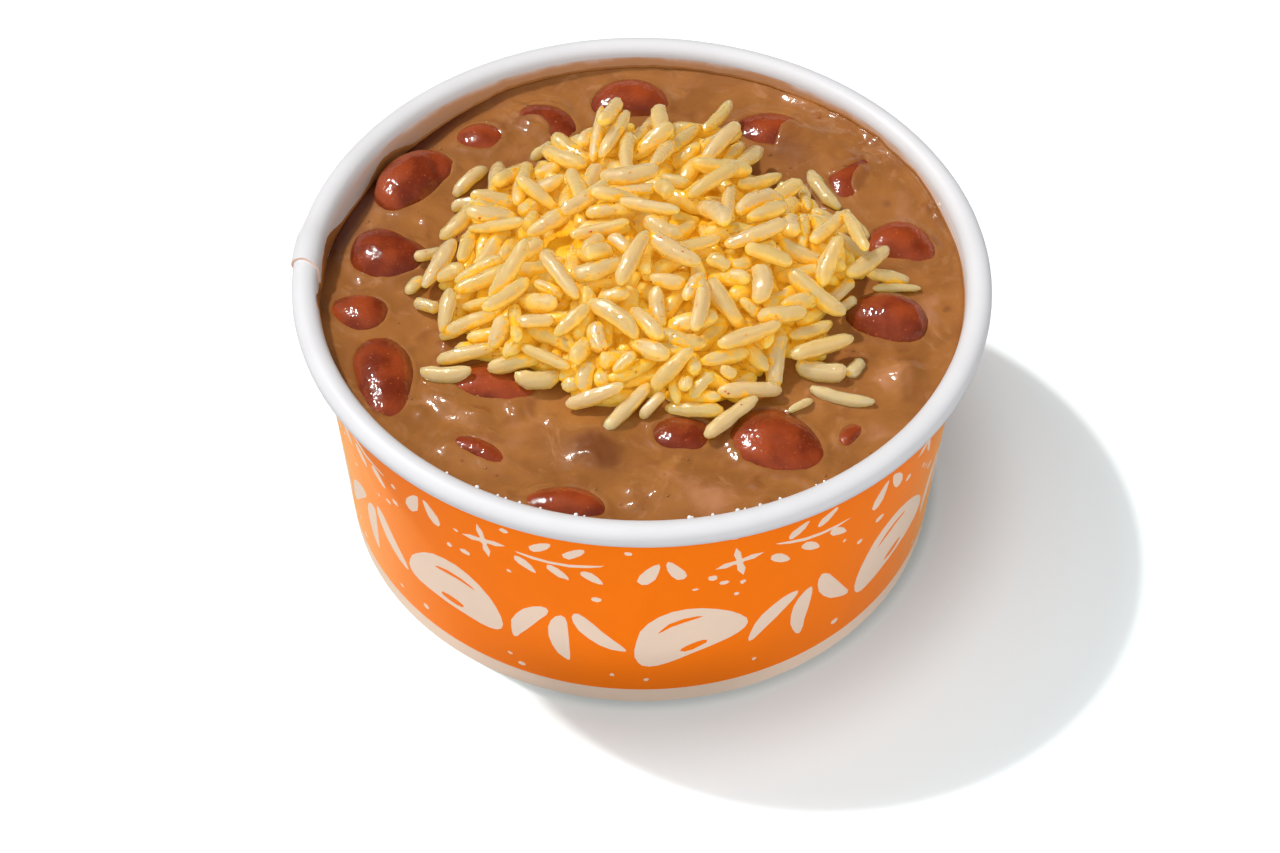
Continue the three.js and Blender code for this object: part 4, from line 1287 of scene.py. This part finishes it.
def gravy_finish():
    """Opaque tan-brown starch with cloudy streaks, bits of skin and spice, painted shadows, and a wet shine.
    """
    made, tree, shader = finish(
        "thick_gravy", paint(160, 98, 48), Roughness=0.4, Specular_IOR_Level=0.1, Coat_Weight=0.8,
        Coat_Roughness=0.1, Subsurface_Weight=0.12, Subsurface_Radius=(1.0, 0.5, 0.25),
        Subsurface_Scale=1.2 * MM,
    )
    cloud = between(tree, grain_of(tree, 0.07, 5.0, 0.55, 1.2), 0.36, 0.64)
    milky = between(tree, grain_of(tree, 0.12, 6.0, 0.6, 2.5), 0.54, 0.7, 0.0, 0.7)
    uneven = between(tree, grain_of(tree, 0.35, 4.0, 0.6, 0.8), 0.3, 0.7, -0.12, 0.12)
    stain_and_shadow = maths(tree, "ADD", value_on(tree, "stain_and_shadow"), uneven)
    bits = node(tree, "ShaderNodeTexVoronoi", {
        "Vector": place_of(tree), "Scale": 0.42 / MM, "Randomness": 1.0,
    })
    draw = node(tree, "ShaderNodeSeparateColor", {0: bits.outputs["Color"]}).outputs[0]
    speck = maths(tree, "MULTIPLY", between(tree, bits.outputs["Distance"], 0.14, 0.08),
                  between(tree, draw, 0.91, 0.92))
    body = mix(tree, cloud, paint(135, 84, 40), paint(151, 97, 48))
    for share, strength, colour in (
        (milky, 1.0, (162, 110, 68)),
        (value_on(tree, "pulp"), 0.55, (124, 70, 34)),
        (value_on(tree, "film"), 0.35, (136, 78, 40)),
        (between(tree, stain_and_shadow, 0.1, 0.9, 0.0, 0.75), 1.0, (178, 122, 88)),
        # dark patches: stains and painted shade
        (between(tree, stain_and_shadow, -0.1, -0.9, 0.0, 0.8), 1.0, (104, 56, 28)),
        (value_on(tree, "thin"), 0.5, (166, 104, 54)),
        # painted shadow of the rim along the wall in the dip
        (value_on(tree, "crease"), 1.0, (84, 36, 15)),
        (speck, 0.5, (118, 54, 26)),
    ):
        body = mix(tree, maths(tree, "MULTIPLY", share, strength), body, paint(*colour))
    tree.links.new(body, shader.inputs["Base Color"])
    fine = relief(tree, shader, grain_of(tree, 1.9, 2.0, 0.6), 0.01)
    relief(tree, shader, grain_of(tree, 0.45, 3.0, 0.55, 0.8), 0.1, fine)
    return made


gravy_skin = gravy_finish()
marks = {"film": film, "crease": crease, "stain_and_shadow": stain_and_shadow, "pulp": mushy * np.clip(pulp * 3, 0, 1) * bare}
marks = {label: np.concatenate([values, under]) for label, values in marks.items()}
marks["thin"] = np.concatenate(thin)
gravy = build(
    "gravy_pool", np.concatenate(gravy_points), ring_faces(rows, GRAVY_STEPS), [gravy_skin],
    crease=80, marks=marks,
)
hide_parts("gravy")
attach(gravy, "root")

# ------------------------------------------------------------------------------ seasoning
# Ground orange and yellow spice, stirred through the rice. It clings to the grains in flecks, most
# of all where they touch.
def scatter_tree(name, material, weight, sides, rings):
    """Small uneven lumps scattered over a surface, more where a value of the surface is higher."""
    tree, given, keys = tree_with(name, {
        "Density": "Float", "Seed": "Int", "Smallest": "Float", "Largest": "Float", "Flatness": "Float",
    })
    given = given.outputs
    points = node(tree, "GeometryNodeDistributePointsOnFaces", {
        "Mesh": given["Geometry"], "Seed": given["Seed"],
        "Density": maths(tree, "MULTIPLY", given["Density"], attribute(tree, weight, "FLOAT")),
    })
    lump = node(tree, "GeometryNodeMeshUVSphere", {"Radius": 1.0, "Segments": sides, "Rings": rings})
    squashed = node(tree, "ShaderNodeCombineXYZ", {"X": 1.0, "Y": 0.8, "Z": given["Flatness"]}).outputs[0]
    shaped = node(tree, "GeometryNodeTransform", {"Geometry": lump.outputs["Mesh"], "Scale": squashed})
    smooth = node(tree, "GeometryNodeSetShadeSmooth", {"Geometry": shaped.outputs["Geometry"]})
    size = node(tree, "FunctionNodeRandomValue", {
        2: given["Smallest"], 3: given["Largest"], "Seed": given["Seed"],
    }, data_type="FLOAT")
    placed = node(tree, "GeometryNodeInstanceOnPoints", {
        "Points": points.outputs["Points"], "Instance": smooth.outputs["Geometry"],
        "Rotation": points.outputs["Rotation"], "Scale": size.outputs[1],
    })
    end_tree(tree, placed, material)
    return tree, keys


def fleck_finish(name, dark, bright, roughness):
    """Ground spice, each fleck of its own shade."""
    made, tree, shader = finish(name, bright, Roughness=roughness, Coat_Weight=0.4, Coat_Roughness=0.2)
    shade = between(tree, grain_of(tree, 0.8, 2.0), 0.35, 0.65)
    tree.links.new(mix(tree, shade, dark, bright), shader.inputs["Base Color"])
    return made


yellow_spice = fleck_finish("yellow_spice", paint(230, 146, 0), paint(248, 190, 6), 0.5)
red_spice = fleck_finish("red_spice", paint(150, 50, 12), paint(226, 92, 14), 0.5)
tree, keys = scatter_tree("scatter_yellow", yellow_spice, "dust", 4, 2)
flecks = grow("seasoning_flecks", rice, tree, keys, {
    "Density": 4.0e6, "Seed": 5, "Smallest": 0.08 * MM, "Largest": 0.26 * MM, "Flatness": 0.6,
})
tree, keys = scatter_tree("scatter_red", red_spice, "tone", 5, 3)
chili = grow("chili_flecks", rice, tree, keys, {
    "Density": 0.006e6, "Seed": 9, "Smallest": 0.12 * MM, "Largest": 0.3 * MM, "Flatness": 0.5,
})
for piece in (flecks, chili):
    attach(piece, "root")

# ------------------------------------------------------------------------------ bubbles and drops
# Pinhead bubbles and blobs of starch that stand on the gravy, and clear drops of steam that has settled
# on the rim's inner edge at the front.
tree, keys = scatter_tree("scatter_bubbles", gravy_skin, "open", 8, 5)
surface = points_of(gravy.data)
away = np.hypot(surface[:, 0], surface[:, 1])
mark(gravy.data, "open", ((away > 27) & (away < rim_line - 0.8) & (surface[:, 2] > 37)).astype(float))
bubbles = grow("gravy_bubbles", gravy, tree, keys, {
    "Density": 0.02e6, "Seed": 3, "Smallest": 0.1 * MM, "Largest": 0.34 * MM, "Flatness": 0.6,
})
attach(bubbles, "root")

DROPS = 18
DROP_SIZE = (0.14, 0.34)
DROP_LIFT = 0.12
clear, _, _ = finish("clear_drop", paint(226, 224, 224), Roughness=0.1, Coat_Weight=1.0, Coat_Roughness=0.03)
drop_draws = Draws(17)
work = bmesh.new()
for _ in range(DROPS):
    direction = math.radians(drop_draws.between(-124, -52))
    turn = math.radians(drop_draws.between(136, 158))
    size = drop_draws.between(*DROP_SIZE)
    away = roll_r + (ROLL_RADIUS + DROP_LIFT) * math.cos(turn)
    height = roll_z + (ROLL_RADIUS + DROP_LIFT) * math.sin(turn)
    at = Vector((away * math.cos(direction), away * math.sin(direction), height)) * MM
    bmesh.ops.create_icosphere(work, subdivisions=2, radius=size * MM, matrix=Matrix.Translation(at))
drops = put("rim_drops", mesh_from("rim_drops", work))
drops.data.materials.append(clear)
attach(drops, "root")

# ------------------------------------------------------------------------------ table, light and camera
# A plain white table under one high lamp in a glowing shade, from the left and behind, with soft light
# from all round.
table = bpy.data.meshes.new("table")
table.from_pydata([(-4, -4, 0), (4, -4, 0), (4, 4, 0), (-4, 4, 0)], [], [(0, 1, 2, 3)])
# How pale the table looks, how much light it throws back, which way its dark side lies, and how the
# contact shade fades from the foot outwards.
BRIGHT = (0.87, 0.95, 0.96, 1)
DULL = (0.42, 0.43, 0.44, 1)
LEE = (0.887, -0.46, 0)
SHADE_STEPS = ((0.045, 0.2), (0.06, 0.3))
table_top, tree, shader = finish("table_top", DULL, Roughness=0.9, Specular_IOR_Level=0.1)
seen = node(tree, "ShaderNodeLightPath").outputs["Is Camera Ray"]
place = place_of(tree)
off = node(tree, "ShaderNodeVectorMath", {0: place}, operation="LENGTH").outputs["Value"]
lee = node(tree, "ShaderNodeVectorMath", {0: place, 1: LEE}, operation="DOT_PRODUCT").outputs["Value"]
sharp, soft = (between(tree, off, FOOT_RADIUS * MM, end, dark, 0.0) for end, dark in SHADE_STEPS)
close = maths(tree, "MULTIPLY", maths(tree, "ADD", sharp, soft), between(tree, lee, -0.01, 0.015))
tree.links.new(mix(tree, seen, DULL, mix(tree, close, BRIGHT, BLACK)), shader.inputs["Base Color"])
table.materials.append(table_top)
floor = put("table", table)

LAMP_FROM = Vector((-0.497, 0.258, 0.828))
LAMP_COLOUR = (1.0, 0.985, 0.96)
# Strength, and how wide it looks in degrees.
LAMPS = {"key_lamp": (2.2, 3.0), "key_shade": (0.45, 9.0)}
for name, (energy, width) in LAMPS.items():
    lamp = bpy.data.lights.new(name, "SUN")
    lamp.energy = energy
    lamp.angle = math.radians(width)
    lamp.color = LAMP_COLOUR
    put(name, lamp).rotation_euler = LAMP_FROM.to_track_quat("Z", "Y").to_euler()
# The soft light's strength at the front and at the back, and how much of it shows in wet surfaces,
# whose shine comes from the lamp.
FRONT_GLOW, BACK_GLOW = 1.65, 0.14
SHEEN_SHARE = 0.1
sky = bpy.data.worlds.new("studio")
sky.use_nodes = True
tree = sky.node_tree
backdrop = tree.nodes["Background"]
backdrop.inputs["Color"].default_value = (0.98, 0.99, 1.0, 1)
sideways = node(tree, "ShaderNodeSeparateXYZ", {0: place_of(tree, "Generated")})
glow = between(tree, sideways.outputs["Y"], -0.9, 0.8, FRONT_GLOW, BACK_GLOW)
mirrored = node(tree, "ShaderNodeLightPath").outputs["Is Glossy Ray"]
glow = maths(tree, "MULTIPLY", glow, between(tree, mirrored, 0.0, 1.0, 1.0, SHEEN_SHARE))
tree.links.new(glow, backdrop.inputs["Strength"])
bpy.context.scene.world = sky
bpy.context.scene.view_settings.view_transform = "Standard"

SENSOR = 36.0
aim = Vector(view).to_track_quat("-Z", "Y").to_matrix() @ Matrix.Rotation(ROLL, 3, "Z")
lens = bpy.data.cameras.new("camera")
lens.sensor_width = SENSOR
lens.lens = FOCAL_PIXELS / FRAME[0] * SENSOR
lens.clip_start = 0.01
camera = put("camera", lens)
camera.matrix_world = Matrix.Translation(Vector(stand) * MM) @ aim.to_4x4()
bpy.context.scene.camera = camera
